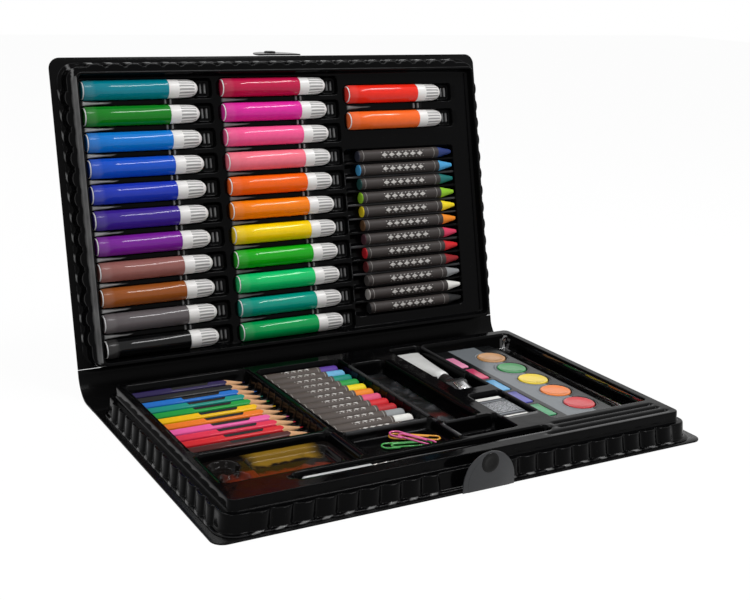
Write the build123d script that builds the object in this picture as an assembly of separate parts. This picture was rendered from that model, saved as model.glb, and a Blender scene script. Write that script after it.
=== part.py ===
from build123d import *
from math import atan2, cos, degrees, hypot, radians, sin, tan
import os

# A painting set case that opens like a book: a folded cover sheet with one moulded tray
# on its base panel and one on its lid panel, filled with drawing and painting things.
# Millimetres. Every layout value counts from the base panel's front left corner, X to the
# right, Y to the back, Z up. The lid is laid out flat, x to the right, s up from its
# crease and n out of its inner face, and then stood up on the spine.

# Cover sheet
SHEET = 1.0
PANEL_DEPTH = 223.5
COVER_CORNER = 8.0
SIDE_MARGIN = 9.0
FRONT_MARGIN = 7.0
HINGE_MARGIN = 3.0
LID_HINGE_MARGIN = 1.6
FOOT_REACH = 4.4
HINGE_FOOT_REACH = 0.6
CREASE_GAP = 0.3
CLOSING_GAP = 0.8
SPINE_REST_ANGLE = 27.7
LID_LEAN = 12.8
SPINE_BEND = 19.5

# Moulded trays, alike in the base and the lid
RIM_HEIGHT = 20.0
LEDGE_HEIGHT = 13.0
FOOT_THICKNESS = 1.0
WALL = 1.0
STEP_INSET = 4.2
TRAY_CORNER = 9.0
RIM_CORNER = 5.0
PLAIN_CORNER = 21.0
FLUTE_PITCH = 15.4
FLUTE_VALLEY = 2.6
FLUTE_BULGE = 1.5
WALL_DRAFT = 1.2
POCKET_CORNER = 3.0
CORNER_STEPS = 3
FIT = 0.3
SETTLE = 0.15
FLUTE_SIDES = 3
THICK_SIDES = 12
THIN_SIDES = 10
ROUND_SIDES = 16
LEAD_SIDES = 6
FLAT_ENOUGH = 1e-6

# Pencils and oil pastels
ROW_COUNT = 12
PENCIL_LENGTH = 86.0
PENCIL_FLATS = 7.2
PENCIL_PITCH = 10.65
PENCIL_CONE = 15.0
PENCIL_LEAD = 2.4
PENCIL_POINT = 0.15
PENCIL_AXIS = 12.0
PENCIL_FRONT = 89.6
PASTEL_LENGTH = 61.0
PASTEL_DIAMETER = 9.6
PASTEL_SLEEVE = 46.0
PASTEL_PITCH = 10.85
PASTEL_AXIS = 12.6
PASTEL_FRONT = 80.7
TIP_TAPER = 0.8

# Base layout
RIM_LAND = 7.4
END_ROOM = 1.2
DIVIDER = 8.6
ROW_MARGIN = 5.6
MIDDLE_LAND = 4.5
RELIEF_WIDTH = 27.0
RELIEF_FRONT = 65.0
RELIEF_BACK = 190.0
RELIEF_FLOOR = 9.0
TOOL_LAND = 16.5
WELL_LAND = 3.0

# Loose things in the base
ERASER = (23.0, 41.0, 11.0)
ERASER_FRONT = 55.4
ERASER_BAND = (6.0, 0.5)
SHARPENER = (18.0, 25.0, 11.0)
SHARPENER_FRONT = 113.5
SHARPENER_BORE = 7.6
BLADE = 0.8
GLUE_LENGTH = 55.0
GLUE_CRIMP_WIDTH = 24.0
GLUE_NECK = 12.0
GLUE_CRIMP = 1.8
GLUE_CAP = (10.5, 8.5)
GLUE_FRONT = 142.0
TOOL_FLOOR = 6.0
PALETTE_WIDTH = 64.0
PALETTE_DEPTH = 168.0
PALETTE_THICKNESS = 4.0
PALETTE_FLOOR = 8.0
PALETTE_FRONT = 39.0
PALETTE_WELL_WIDTH = 80.0
CAKE_DIAMETER = 22.4
CAKE_HEIGHT = 3.4
CAKE_COUNT = 5
PAINT_PITCH = 27.4
CAKE_FROM_LEFT = 46.5
PAN = (10.0, 21.0, 3.0)
PAN_FROM_LEFT = 12.0
PAN_SINK = 2.6
MIXER_DEPTH = 43.0
MIXER_FRONT = 35.5
MIXER_THICKNESS = 5.0
MIXER_FLOOR = 10.0
MIXER_WELL = 18.0
MIXER_SINK = 3.6
BRUSH_START = 66.0
BRUSH_GUARD = (46.0, 6.4)
BRUSH_FERRULE = (16.0, 5.0)
BRUSH_HANDLE = (112.0, 5.8, 3.0)
BRUSH_HAIR = (12.0, 3.6)
BRUSH_LINE = 26.3
BRUSH_FLOOR = 12.0
CLIP_WIRE = 1.4
CLIP_LENGTH = 33.0
CLIP_WIDTH = 8.0
CLIP_FLOOR = 13.0
CLIP_FRONT = 36.5
CLIP_BACK = 72.5
CLIPS = (("green", 20.0, 22.0, -11.0), ("yellow", 31.0, 31.0, -30.0), ("pink", 22.0, 25.0, -18.0))
SMALL_WELL_FLOOR = 9.0

# Markers and crayons in the lid
MARKER_DIAMETER = 14.2
MARKER_BARREL = 63.6
MARKER_CAP = 24.0
MARKER_CAP_TAPER = 0.9
MARKER_AXIS = 12.3
MARKER_TOP_EDGE = 16.6
MARKER_HINGE_EDGE = 12.4
MARKER_ROWS = 11
MARKER_COLUMN_PITCH = 105.6
MARKER_LEFT = 17.6
MARKER_EXTRA_ROWS = 2
MARKER_SLOT_TAIL = 11.0
LID_FIELD = 13.0
LID_BORDER = 2.4
LID_HINGE_BORDER = 3.0
LID_HINGE_INSET = 1.0
MARKER_RIGHT_DROP = 7.5
MARKER_RIGHT_PITCH = 20.7
CRAYON_LENGTH = 88.5
CRAYON_DIAMETER = 9.0
CRAYON_TIP = 14.0
CRAYON_TIP_END = 2.2
CRAYON_AXIS = 11.4
CRAYON_PITCH = 11.05
CRAYON_DROP = 49.0
CRAYON_START = 235.5
CRAYON_POCKET_LEAD = 12.0

# Closing flap on the base panel and tab on the lid panel
FLAP_WIDTH = 38.0
FLAP_HEIGHT = 24.4
FLAP_THICKNESS = 1.0
FLAP_FOOT = 4.0
FLAP_STEPS = 12
SNAP_DIAMETER = 13.0
SNAP_HEIGHT = 17.0
SNAP_DISC = 1.4
TAB_WIDTH = 36.0
TAB_LENGTH = 27.0
TAB_STUD = (9.0, 1.2)
TAB_BACK_ANGLE = 78.0
PLAIN_LEFT_OF_FLAP = 32.0

# Sizes that follow
MARKER_LENGTH = MARKER_BARREL + MARKER_CAP
TRAY_DEPTH = PANEL_DEPTH - FRONT_MARGIN - HINGE_MARGIN
MARKER_TOP_ROW = LID_HINGE_MARGIN + TRAY_DEPTH - MARKER_TOP_EDGE
MARKER_PITCH = (TRAY_DEPTH - MARKER_TOP_EDGE - MARKER_HINGE_EDGE) / (MARKER_ROWS - 1)
MARKER_RIGHT_TOP = MARKER_TOP_ROW - MARKER_RIGHT_DROP
CRAYON_TOP_ROW = MARKER_RIGHT_TOP - CRAYON_DROP
RIM_LEFT = SIDE_MARGIN + STEP_INSET
RIM_FRONT = FRONT_MARGIN + STEP_INSET
PENCIL_WELL_LEFT = RIM_LEFT + RIM_LAND
PENCIL_START = PENCIL_WELL_LEFT + END_ROOM
PENCIL_WELL_RIGHT = PENCIL_START + PENCIL_LENGTH + END_ROOM
PASTEL_WELL_LEFT = PENCIL_WELL_RIGHT + DIVIDER
PASTEL_START = PASTEL_WELL_LEFT + END_ROOM
PASTEL_WELL_RIGHT = PASTEL_START + PASTEL_LENGTH + 2 * END_ROOM
RELIEF_LEFT = PASTEL_WELL_RIGHT + MIDDLE_LAND
RELIEF_RIGHT = RELIEF_LEFT + RELIEF_WIDTH
TOOL_LEFT = RELIEF_RIGHT + TOOL_LAND
TOOL_WIDTH = max(ERASER[0], SHARPENER[0], GLUE_CRIMP_WIDTH) + 2 * END_ROOM
TOOL_MIDDLE = TOOL_LEFT + TOOL_WIDTH / 2
PALETTE_WELL_LEFT = TOOL_LEFT + TOOL_WIDTH + WELL_LAND
PALETTE_WELL_RIGHT = PALETTE_WELL_LEFT + PALETTE_WELL_WIDTH
SHEET_WIDTH = PALETTE_WELL_RIGHT + RIM_LAND + RIM_LEFT
PALETTE_LEFT = PALETTE_WELL_LEFT + FIT
PENCIL_CORNERS = PENCIL_FLATS / cos(radians(30))
RIM_RIGHT = SHEET_WIDTH - RIM_LEFT
PENCIL_BACK = PENCIL_FRONT + (ROW_COUNT - 1) * PENCIL_PITCH
PASTEL_BACK = PASTEL_FRONT + (ROW_COUNT - 1) * PASTEL_PITCH
CLASP_X = SHEET_WIDTH / 2

# Hinge lines on the middle of the sheet's thickness
HALF = SHEET / 2
BASE_CREASE = (PANEL_DEPTH, HALF)
CREASE_SPAN = 2 * RIM_HEIGHT - SHEET + CLOSING_GAP
LID_CREASE = (
    PANEL_DEPTH + CREASE_SPAN * cos(radians(SPINE_REST_ANGLE)),
    HALF + CREASE_SPAN * sin(radians(SPINE_REST_ANGLE)),
)
LID_ANGLE = 90 - LID_LEAN
PANEL_END = HALF + CREASE_GAP


def block(x0, x1, y0, y1, z0, z1):
    return Pos((x0 + x1) / 2, (y0 + y1) / 2, (z0 + z1) / 2) * Box(x1 - x0, y1 - y0, z1 - z0)


def rounded_block(x0, x1, y0, y1, z0, z1, radius, steps=1):
    """A block with its four upright edges cut to short flats, steps to a corner."""
    points = []
    for turn, (x, y) in enumerate(((x1, y1), (x0, y1), (x0, y0), (x1, y0))):
        middle_x = x - radius if x == x1 else x + radius
        middle_y = y - radius if y == y1 else y + radius
        for step in range(steps + 1):
            angle = radians(90 * turn + 90 * step / steps)
            points.append((middle_x + radius * cos(angle), middle_y + radius * sin(angle)))
    outline = make_face(Polyline(*points, close=True))
    return extrude(Pos(0, 0, z0) * outline, z1 - z0)


def facet_ring(radius, sides, height=0.0, half_height=None):
    """Points of a round outline drawn with flat sides, one side down.

    half_height flattens the outline, and height lifts it off the origin along Z.
    """
    turn = radians(180 / sides)
    wide = radius if half_height else radius / cos(turn)
    tall = half_height or wide
    return [
        Vector(wide * sin(turn * (2 * k + 1)), -tall * cos(turn * (2 * k + 1)), height)
        for k in range(sides)
    ]


def skin(ring, top):
    """A solid between two rings of points. A side that twists is split in two."""
    count = len(ring)
    outlines = [ring, top]
    for k in range(count):
        a, b = ring[k], ring[(k + 1) % count]
        c, d = top[(k + 1) % count], top[k]
        if abs((b - a).cross(c - a).dot(d - a)) < FLAT_ENOUGH:
            outlines.append([a, b, c, d])
        else:
            outlines += [[a, b, c], [a, c, d]]
    return Solid(Shell([make_face(Polyline(*points, close=True)) for points in outlines]))


def rod(length, radius, end_radius, sides):
    """A rod along Z from the origin, tapered where its two radii differ."""
    ring = facet_ring(radius, sides)
    if end_radius is None:
        return extrude(make_face(Polyline(*ring, close=True)), length)
    return skin(ring, facet_ring(end_radius, sides, length))


def rod_x(x0, x1, y, z, radius, end_radius=None, sides=THIN_SIDES):
    """A rod along X with its flat side down."""
    across = Plane(origin=(x0, y, z), x_dir=(0, 1, 0), z_dir=(1, 0, 0))
    return across.location * rod(x1 - x0, radius, end_radius, sides)


def rod_y(y0, y1, x, z, radius, end_radius=None, sides=THIN_SIDES):
    """A rod along Y with its flat side down."""
    across = Plane(origin=(x, y0, z), x_dir=(-1, 0, 0), z_dir=(0, 1, 0))
    return across.location * rod(y1 - y0, radius, end_radius, sides)


def disc(x, y, z0, z1, radius, sides=ROUND_SIDES):
    return Pos(x, y, z0) * rod(z1 - z0, radius, None, sides)


def bead(x0, x1, y, z):
    """The round edge of a panel on its hinge line."""
    return Pos((x0 + x1) / 2, y, z) * Rot(0, 90, 0) * Cylinder(HALF, x1 - x0)


def row_places(front, pitch, count):
    return [front + pitch * row for row in range(count)]


# Fluted tray walls

def fluted_side(start, end, plain):
    """Points of one side from corner to corner: bulges parted by narrow valleys."""
    along = end - start
    count = max(1, round(along.length / FLUTE_PITCH))
    step = along / count
    outward = Vector(along.Y, -along.X, 0).normalized()
    valley = along.normalized() * (FLUTE_VALLEY / 2)
    points = [start]
    for flute in range(count):
        begin = start + step * flute + valley
        finish = start + step * (flute + 1) - valley
        middle = (begin + finish) * 0.5
        if plain and plain[0] < middle.X < plain[1]:
            continue
        for side in range(FLUTE_SIDES + 1):
            share = side / FLUTE_SIDES
            height = FLUTE_BULGE * sin(radians(180 * share))
            points.append(begin + (finish - begin) * share + outward * height)
    return points + [end]


def fluted_outline(y0, y1, grow, plain):
    """The tray's outline at one height, larger all round by grow."""
    left, right = SIDE_MARGIN - grow, SHEET_WIDTH - SIDE_MARGIN + grow
    front, back = y0 - grow, y1 + grow
    corners = [(left, front), (right, front), (right, back), (left, back)]
    directions = [(1, 0), (0, 1), (-1, 0), (0, -1)]
    radius = TRAY_CORNER + grow
    points = []
    for side in range(4):
        ahead = Vector(*directions[side])
        turn = Vector(*directions[(side + 1) % 4])
        following = Vector(*corners[(side + 1) % 4])
        start = Vector(*corners[side]) + ahead * PLAIN_CORNER
        end = following - ahead * PLAIN_CORNER
        points += fluted_side(start, end, plain if side == 0 else None)
        middle = following - ahead * radius + turn * radius
        for step in range(CORNER_STEPS + 1):
            angle = radians(90 * step / CORNER_STEPS)
            points.append(middle - turn * radius * cos(angle) + ahead * radius * sin(angle))
    return make_face(Polyline(*[(p.X, p.Y) for p in points], close=True))


def tray_shell(y0, y1, foot_front, foot_back, front_inset, pockets, sleeves, plain):
    """A thin tray: drafted fluted wall, ledge, raised rim field and its pockets.

    plain is the stretch of the y0 side that has no flutes.
    pockets are cut from the top, and sleeves are the same spaces with their walls, which
    hang into the hollow under the field.
    """
    base = Pos(0, 0, SHEET) * fluted_outline(y0, y1, WALL_DRAFT, plain)
    ledge = Pos(0, 0, LEDGE_HEIGHT) * fluted_outline(y0, y1, 0, plain)
    wall = loft([base, ledge], ruled=True)
    inset = STEP_INSET
    field = rounded_block(
        SIDE_MARGIN + inset, SHEET_WIDTH - SIDE_MARGIN - inset, y0 + front_inset, y1 - inset,
        LEDGE_HEIGHT - WALL, RIM_HEIGHT, RIM_CORNER, CORNER_STEPS,
    )
    foot = rounded_block(
        SIDE_MARGIN - FOOT_REACH, SHEET_WIDTH - SIDE_MARGIN + FOOT_REACH,
        y0 - foot_front, y1 + foot_back, SHEET, SHEET + FOOT_THICKNESS, TRAY_CORNER,
        CORNER_STEPS,
    )
    hollow = block(
        SIDE_MARGIN + WALL, SHEET_WIDTH - SIDE_MARGIN - WALL, y0 + WALL, y1 - WALL,
        SHEET, LEDGE_HEIGHT - WALL,
    )
    upper = inset + WALL
    hollow += block(
        SIDE_MARGIN + upper, SHEET_WIDTH - SIDE_MARGIN - upper,
        y0 + front_inset + WALL, y1 - upper, LEDGE_HEIGHT - WALL, RIM_HEIGHT - WALL,
    )
    for sleeve in sleeves:
        hollow -= sleeve
    tray = wall + field + foot - hollow
    for pocket in pockets:
        tray -= pocket
    return tray


def sleeve_of(x0, x1, y0, y1, floor):
    return block(x0 - WALL, x1 + WALL, y0 - WALL, y1 + WALL, floor - WALL, RIM_HEIGHT)


# Wells of the base tray: place, floor and corner radius

def base_wells():
    tool_right = TOOL_LEFT + TOOL_WIDTH
    return {
        "relief": (RELIEF_LEFT, RELIEF_RIGHT, RELIEF_FRONT, RELIEF_BACK, RELIEF_FLOOR),
        "glue": (TOOL_LEFT, tool_right, GLUE_FRONT - END_ROOM,
                 GLUE_FRONT + GLUE_CAP[1] + GLUE_LENGTH + 2 * END_ROOM, TOOL_FLOOR),
        "sharpener": (TOOL_LEFT, tool_right, SHARPENER_FRONT - END_ROOM,
                      SHARPENER_FRONT + SHARPENER[1] + END_ROOM, TOOL_FLOOR),
        "eraser": (TOOL_LEFT, tool_right, ERASER_FRONT - END_ROOM,
                   ERASER_FRONT + ERASER[1] + END_ROOM, TOOL_FLOOR),
        "palette": (PALETTE_WELL_LEFT, PALETTE_WELL_RIGHT, PALETTE_FRONT - FIT,
                    PALETTE_FRONT + PALETTE_DEPTH + FIT, PALETTE_FLOOR),
        "mixer": (PENCIL_WELL_LEFT, PENCIL_WELL_RIGHT, MIXER_FRONT - FIT,
                  MIXER_FRONT + MIXER_DEPTH + FIT, MIXER_FLOOR),
        "clips": (PASTEL_WELL_LEFT, PASTEL_WELL_RIGHT, CLIP_FRONT, CLIP_BACK, CLIP_FLOOR),
        "small": (RELIEF_LEFT, TOOL_LEFT - WELL_LAND, CLIP_FRONT,
                  RELIEF_FRONT - WELL_LAND, SMALL_WELL_FLOOR),
    }


def grooved_well(x0, x1, front, pitch, axis, stick):
    """A well with a groove for each stick of one set, cut by the stick's own outline."""
    back = front + (ROW_COUNT - 1) * pitch
    well = block(x0, x1, front - ROW_MARGIN, back + ROW_MARGIN, axis, RIM_HEIGHT + 1)
    for y in row_places(front, pitch, ROW_COUNT):
        well += stick(x0, x1, y, axis)
    return well


def pencil_groove(x0, x1, y, z):
    across = Plane(origin=(x0, y, z), x_dir=(0, 1, 0), z_dir=(1, 0, 0))
    outline = RegularPolygon(PENCIL_CORNERS / 2 + SETTLE, 6, rotation=30)
    return extrude(across * outline, x1 - x0)


def pastel_groove(x0, x1, y, z):
    return rod_x(x0, x1, y, z, PASTEL_DIAMETER / 2 + SETTLE)


def crayon_groove(x0, x1, y, z):
    return rod_x(x0, x1, y, z, CRAYON_DIAMETER / 2 + SETTLE)


def build_tray_base():
    pockets, sleeves = [], []
    for x0, x1, y0, y1, floor in base_wells().values():
        pockets.append(rounded_block(x0, x1, y0, y1, floor, RIM_HEIGHT + 1, POCKET_CORNER))
        sleeves.append(sleeve_of(x0, x1, y0, y1, floor))
    rows = [
        (PENCIL_WELL_LEFT, PENCIL_WELL_RIGHT, PENCIL_FRONT, PENCIL_PITCH, PENCIL_AXIS,
         pencil_groove, PENCIL_CORNERS / 2),
        (PASTEL_WELL_LEFT, PASTEL_WELL_RIGHT, PASTEL_FRONT, PASTEL_PITCH, PASTEL_AXIS,
         pastel_groove, PASTEL_DIAMETER / 2),
    ]
    for x0, x1, front, pitch, axis, groove, radius in rows:
        pockets.append(grooved_well(x0, x1, front, pitch, axis, groove))
        back = front + (ROW_COUNT - 1) * pitch
        sleeves.append(
            sleeve_of(x0, x1, front - ROW_MARGIN, back + ROW_MARGIN, axis - radius - SETTLE)
        )
    brush = BRUSH_GUARD[1] / 2 + 2 * FIT
    brush_end = BRUSH_START + BRUSH_GUARD[0] + BRUSH_FERRULE[0] + BRUSH_HANDLE[0]
    left, right = BRUSH_START - 4 * END_ROOM, brush_end + 4 * END_ROOM
    front, back = BRUSH_LINE - brush, BRUSH_LINE + brush
    pockets.append(
        rounded_block(left, right, front, back, BRUSH_FLOOR, RIM_HEIGHT + 1, POCKET_CORNER)
    )
    sleeves.append(sleeve_of(left, right, front, back, BRUSH_FLOOR))
    plain = (CLASP_X - PLAIN_LEFT_OF_FLAP, CLASP_X + FLAP_WIDTH / 2)
    return tray_shell(
        FRONT_MARGIN, PANEL_DEPTH - HINGE_MARGIN, FOOT_REACH, HINGE_FOOT_REACH, STEP_INSET,
        pockets, sleeves, plain,
    )


def marker_places():
    """Left end and row of each marker, column by column."""
    rows = [MARKER_TOP_ROW - MARKER_PITCH * row for row in range(MARKER_ROWS)]
    columns = []
    for column in range(2):
        columns.append([(MARKER_LEFT + column * MARKER_COLUMN_PITCH, s) for s in rows])
    right = MARKER_LEFT + 2 * MARKER_COLUMN_PITCH
    extra = [
        (right, MARKER_RIGHT_TOP - MARKER_RIGHT_PITCH * row)
        for row in range(MARKER_EXTRA_ROWS)
    ]
    return columns + [extra]


def build_tray_lid():
    radius = MARKER_DIAMETER / 2 + SETTLE
    low = LID_HINGE_MARGIN + LID_HINGE_INSET + LID_HINGE_BORDER
    high = LID_HINGE_MARGIN + TRAY_DEPTH - STEP_INSET - LID_BORDER
    left, right = RIM_LEFT + LID_BORDER, RIM_RIGHT - LID_BORDER
    pockets = [rounded_block(left, right, low, high, LID_FIELD, RIM_HEIGHT + 1, POCKET_CORNER)]
    sleeves = [sleeve_of(left, right, low, high, LID_FIELD)]
    for column in marker_places():
        x0, x1 = column[0][0] - END_ROOM / 2, column[0][0] + MARKER_LENGTH + MARKER_SLOT_TAIL
        for _, s in column:
            pockets.append(rod_x(x0, x1, s, MARKER_AXIS, radius, sides=THICK_SIDES))
        first, last = column[-1][1] - radius, column[0][1] + radius
        sleeves.append(sleeve_of(x0, x1, first, last, MARKER_AXIS - radius))
    crayon = CRAYON_DIAMETER / 2 + SETTLE
    x0, x1 = CRAYON_START - CRAYON_POCKET_LEAD, CRAYON_START + CRAYON_LENGTH + END_ROOM
    front = CRAYON_TOP_ROW - (ROW_COUNT - 1) * CRAYON_PITCH
    pockets.append(grooved_well(x0, x1, front, CRAYON_PITCH, CRAYON_AXIS, crayon_groove))
    sleeves.append(
        sleeve_of(x0, x1, front - ROW_MARGIN, CRAYON_TOP_ROW + ROW_MARGIN, CRAYON_AXIS - crayon)
    )
    return tray_shell(
        LID_HINGE_MARGIN, LID_HINGE_MARGIN + TRAY_DEPTH, HINGE_FOOT_REACH, FOOT_REACH,
        LID_HINGE_INSET, pockets, sleeves, (0, SHEET_WIDTH),
    )


# Cover panels

def cover_panel(y0, y1, rounded_front):
    """A flat panel with two rounded corners on its free edge."""
    panel = block(0, SHEET_WIDTH, y0, y1, 0, SHEET)
    side = y0 if rounded_front else y1
    corners = [e for e in panel.edges().filter_by(Axis.Z) if abs(e.center().Y - side) < 1e-6]
    return fillet(corners, COVER_CORNER)


def build_cover_base():
    return cover_panel(0, PANEL_DEPTH - PANEL_END, True)


def build_cover_lid():
    return cover_panel(PANEL_END, PANEL_DEPTH, False)


def build_spine():
    """The spine strip: flat on the table, then bent up to the lid's crease."""
    start = Vector(*BASE_CREASE)
    end = Vector(*LID_CREASE)
    rise = Vector(cos(radians(LID_ANGLE)), sin(radians(LID_ANGLE)))
    corner = Vector(end.X - (end.Y - start.Y) / tan(radians(LID_ANGLE)), start.Y)
    reach = SPINE_BEND * tan(radians(LID_ANGLE / 2))
    bend_in, bend_out = corner - Vector(reach, 0), corner + rise * reach
    half = Vector(0, HALF)
    side = Vector(-sin(radians(LID_ANGLE)), cos(radians(LID_ANGLE))) * HALF
    centre = bend_in + Vector(0, SPINE_BEND)
    middle_way = Vector(sin(radians(LID_ANGLE / 2)), -cos(radians(LID_ANGLE / 2)))
    outer = centre + middle_way * (SPINE_BEND + HALF)
    inner = centre + middle_way * (SPINE_BEND - HALF)
    outline = [
        Line(start - half, bend_in - half),
        ThreePointArc(bend_in - half, outer, bend_out - side),
        Line(bend_out - side, end - side),
        ThreePointArc(end - side, end + rise * HALF, end + side),
        Line(end + side, bend_out + side),
        ThreePointArc(bend_out + side, inner, bend_in + half),
        Line(bend_in + half, start + half),
        ThreePointArc(start + half, start - Vector(HALF, 0), start - half),
    ]
    upright = Plane(origin=(0, 0, 0), x_dir=(0, 1, 0), z_dir=(1, 0, 0))
    return extrude(upright * make_face(outline), SHEET_WIDTH)


# Closing flap and tab: drawn flat with the hinge line on X, then turned up

def flap_outline(width, height):
    """A straight foot and a half round top."""
    half = width / 2
    points = [(-half, 0), (half, 0)]
    for step in range(FLAP_STEPS + 1):
        angle = radians(180 * step / FLAP_STEPS)
        points.append((half * cos(angle), FLAP_FOOT + (height - FLAP_FOOT) * sin(angle)))
    return make_face(Polyline(*points, close=True))


def build_flap_flat():
    half = FLAP_THICKNESS / 2
    plate = extrude(Pos(0, 0, -half) * flap_outline(FLAP_WIDTH, FLAP_HEIGHT), FLAP_THICKNESS)
    hole = disc(0, SNAP_HEIGHT, -FLAP_THICKNESS, FLAP_THICKNESS, SNAP_DIAMETER / 2)
    return plate + bead(-FLAP_WIDTH / 2, FLAP_WIDTH / 2, 0, 0) - hole


def build_snap_flat():
    half = SNAP_DISC / 2
    return disc(0, SNAP_HEIGHT, -half, half, SNAP_DIAMETER / 2)


def build_tab_flat():
    plate = extrude(Pos(0, 0, -HALF) * flap_outline(TAB_WIDTH, TAB_LENGTH), SHEET)
    return plate + bead(-TAB_WIDTH / 2, TAB_WIDTH / 2, 0, 0)


def build_stud_flat():
    diameter, height = TAB_STUD
    return disc(0, TAB_LENGTH - diameter, HALF, HALF + height, diameter / 2)


# Drawing and painting things

def build_pencils():
    """Hexagonal barrels, sharpened wood cones and lead points of the twelve pencils."""
    barrels, cones, leads = [], [], []
    hexagon = Plane.YZ * RegularPolygon(PENCIL_CORNERS / 2, 6, rotation=30)
    body = PENCIL_LENGTH - PENCIL_CONE
    cone_end = PENCIL_START + PENCIL_LENGTH - PENCIL_LEAD
    lead_radius = PENCIL_FLATS / 2 * PENCIL_LEAD / PENCIL_CONE
    for y in row_places(PENCIL_FRONT, PENCIL_PITCH, ROW_COUNT):
        barrels.append(Pos(PENCIL_START, y, PENCIL_AXIS) * extrude(hexagon, body))
        cones.append(
            rod_x(PENCIL_START + body, cone_end, y, PENCIL_AXIS, PENCIL_FLATS / 2, lead_radius)
        )
        leads.append(
            rod_x(cone_end, PENCIL_START + PENCIL_LENGTH, y, PENCIL_AXIS,
                  lead_radius, PENCIL_POINT, LEAD_SIDES)
        )
    return barrels, cones, leads


def build_pastels():
    sleeves, sticks = [], []
    radius = PASTEL_DIAMETER / 2
    split = PASTEL_START + PASTEL_SLEEVE
    end = PASTEL_START + PASTEL_LENGTH
    for y in row_places(PASTEL_FRONT, PASTEL_PITCH, ROW_COUNT):
        sleeves.append(rod_x(PASTEL_START, split, y, PASTEL_AXIS, radius))
        sticks.append(rod_x(split, end, y, PASTEL_AXIS, radius - FIT, radius - TIP_TAPER))
    return sleeves, sticks


def build_markers():
    """Barrels and caps, one pair of lists for each column."""
    barrels, caps = [], []
    radius = MARKER_DIAMETER / 2
    for column in marker_places():
        barrels.append([
            rod_x(x, x + MARKER_BARREL, s, MARKER_AXIS, radius, sides=THICK_SIDES)
            for x, s in column
        ])
        caps.append([
            rod_x(x + MARKER_BARREL, x + MARKER_LENGTH, s, MARKER_AXIS,
                  radius - FIT, radius - MARKER_CAP_TAPER, THICK_SIDES)
            for x, s in column
        ])
    return barrels, caps


def build_crayons():
    wrappers, sticks = [], []
    radius = CRAYON_DIAMETER / 2
    split = CRAYON_START + CRAYON_LENGTH - CRAYON_TIP
    end = CRAYON_START + CRAYON_LENGTH
    for row in range(ROW_COUNT):
        s = CRAYON_TOP_ROW - row * CRAYON_PITCH
        wrappers.append(rod_x(CRAYON_START, split, s, CRAYON_AXIS, radius))
        sticks.append(rod_x(split, end, s, CRAYON_AXIS, radius - FIT, CRAYON_TIP_END))
    return wrappers, sticks


def palette_places(from_left):
    """Centres of the five places of one row on the paint palette, front to back."""
    middle = PALETTE_FRONT + PALETTE_DEPTH / 2 + PAINT_PITCH * 0.05
    first = middle - PAINT_PITCH * (CAKE_COUNT - 1) / 2
    return [(PALETTE_LEFT + from_left, y) for y in row_places(first, PAINT_PITCH, CAKE_COUNT)]


def build_paint_palette():
    """The palette plate, its round cakes and its small pans."""
    top = PALETTE_FLOOR + SETTLE + PALETTE_THICKNESS
    plate = rounded_block(
        PALETTE_LEFT, PALETTE_LEFT + PALETTE_WIDTH, PALETTE_FRONT,
        PALETTE_FRONT + PALETTE_DEPTH, PALETTE_FLOOR + SETTLE, top, POCKET_CORNER,
    )
    cakes, pans = [], []
    for x, y in palette_places(CAKE_FROM_LEFT):
        floor = top - PAN_SINK
        plate -= disc(x, y, floor, top + 1, CAKE_DIAMETER / 2 + FIT)
        cakes.append(disc(x, y, floor, floor + CAKE_HEIGHT, CAKE_DIAMETER / 2))
    for x, y in palette_places(PAN_FROM_LEFT):
        floor = top - PAN_SINK
        plate -= Pos(x, y, top) * Box(PAN[0] + 2 * FIT, PAN[1] + 2 * FIT, 2 * PAN_SINK)
        pans.append(Pos(x, y, floor + PAN[2] / 2) * Box(*PAN))
    return plate, cakes, pans


def build_mixing_palette():
    """The mixing plate with its round wells and a thumb hole."""
    x0, x1 = PENCIL_WELL_LEFT + FIT, PENCIL_WELL_RIGHT - FIT
    y0, y1 = MIXER_FRONT, MIXER_FRONT + MIXER_DEPTH
    z0 = MIXER_FLOOR + SETTLE
    top = z0 + MIXER_THICKNESS
    plate = rounded_block(x0, x1, y0, y1, z0, top, 2 * POCKET_CORNER)
    middle = (y0 + y1) / 2
    for x, y in ((x0 + 0.65 * MIXER_WELL, y0 + 0.7 * MIXER_WELL),
                 (x0 + 0.65 * MIXER_WELL, y1 - 0.7 * MIXER_WELL)):
        plate -= disc(x, y, top - MIXER_SINK, top + 1, MIXER_WELL / 2)
    tray = rounded_block(
        x0 + 1.5 * MIXER_WELL, x1 - MIXER_WELL / 3, y0 + 2 * POCKET_CORNER,
        y1 - 2 * POCKET_CORNER, top - MIXER_SINK, top + 1, 2 * POCKET_CORNER,
    )
    return plate - tray


def build_brush():
    """Hair guard tube, hair, ferrule and tapered handle of the paintbrush."""
    z = BRUSH_FLOOR + BRUSH_GUARD[1] / 2
    y = BRUSH_LINE
    guard_end = BRUSH_START + BRUSH_GUARD[0]
    ferrule_end = guard_end + BRUSH_FERRULE[0]
    handle_end = ferrule_end + BRUSH_HANDLE[0]
    bore = rod_x(BRUSH_START + 1, guard_end + 1, y, z, BRUSH_GUARD[1] / 2 - 0.6)
    guard = rod_x(BRUSH_START, guard_end, y, z, BRUSH_GUARD[1] / 2) - bore
    ferrule_start = guard_end - BRUSH_FERRULE[0]
    ferrule = rod_x(ferrule_start, ferrule_end, y, z, BRUSH_FERRULE[1] / 2)
    hair = rod_x(
        ferrule_start - BRUSH_HAIR[0], ferrule_start, y, z, 0.4, BRUSH_HAIR[1] / 2
    )
    handle = rod_x(ferrule_end, handle_end, y, z, BRUSH_HANDLE[1] / 2, BRUSH_HANDLE[2] / 2)
    return guard, hair, ferrule, handle


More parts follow.
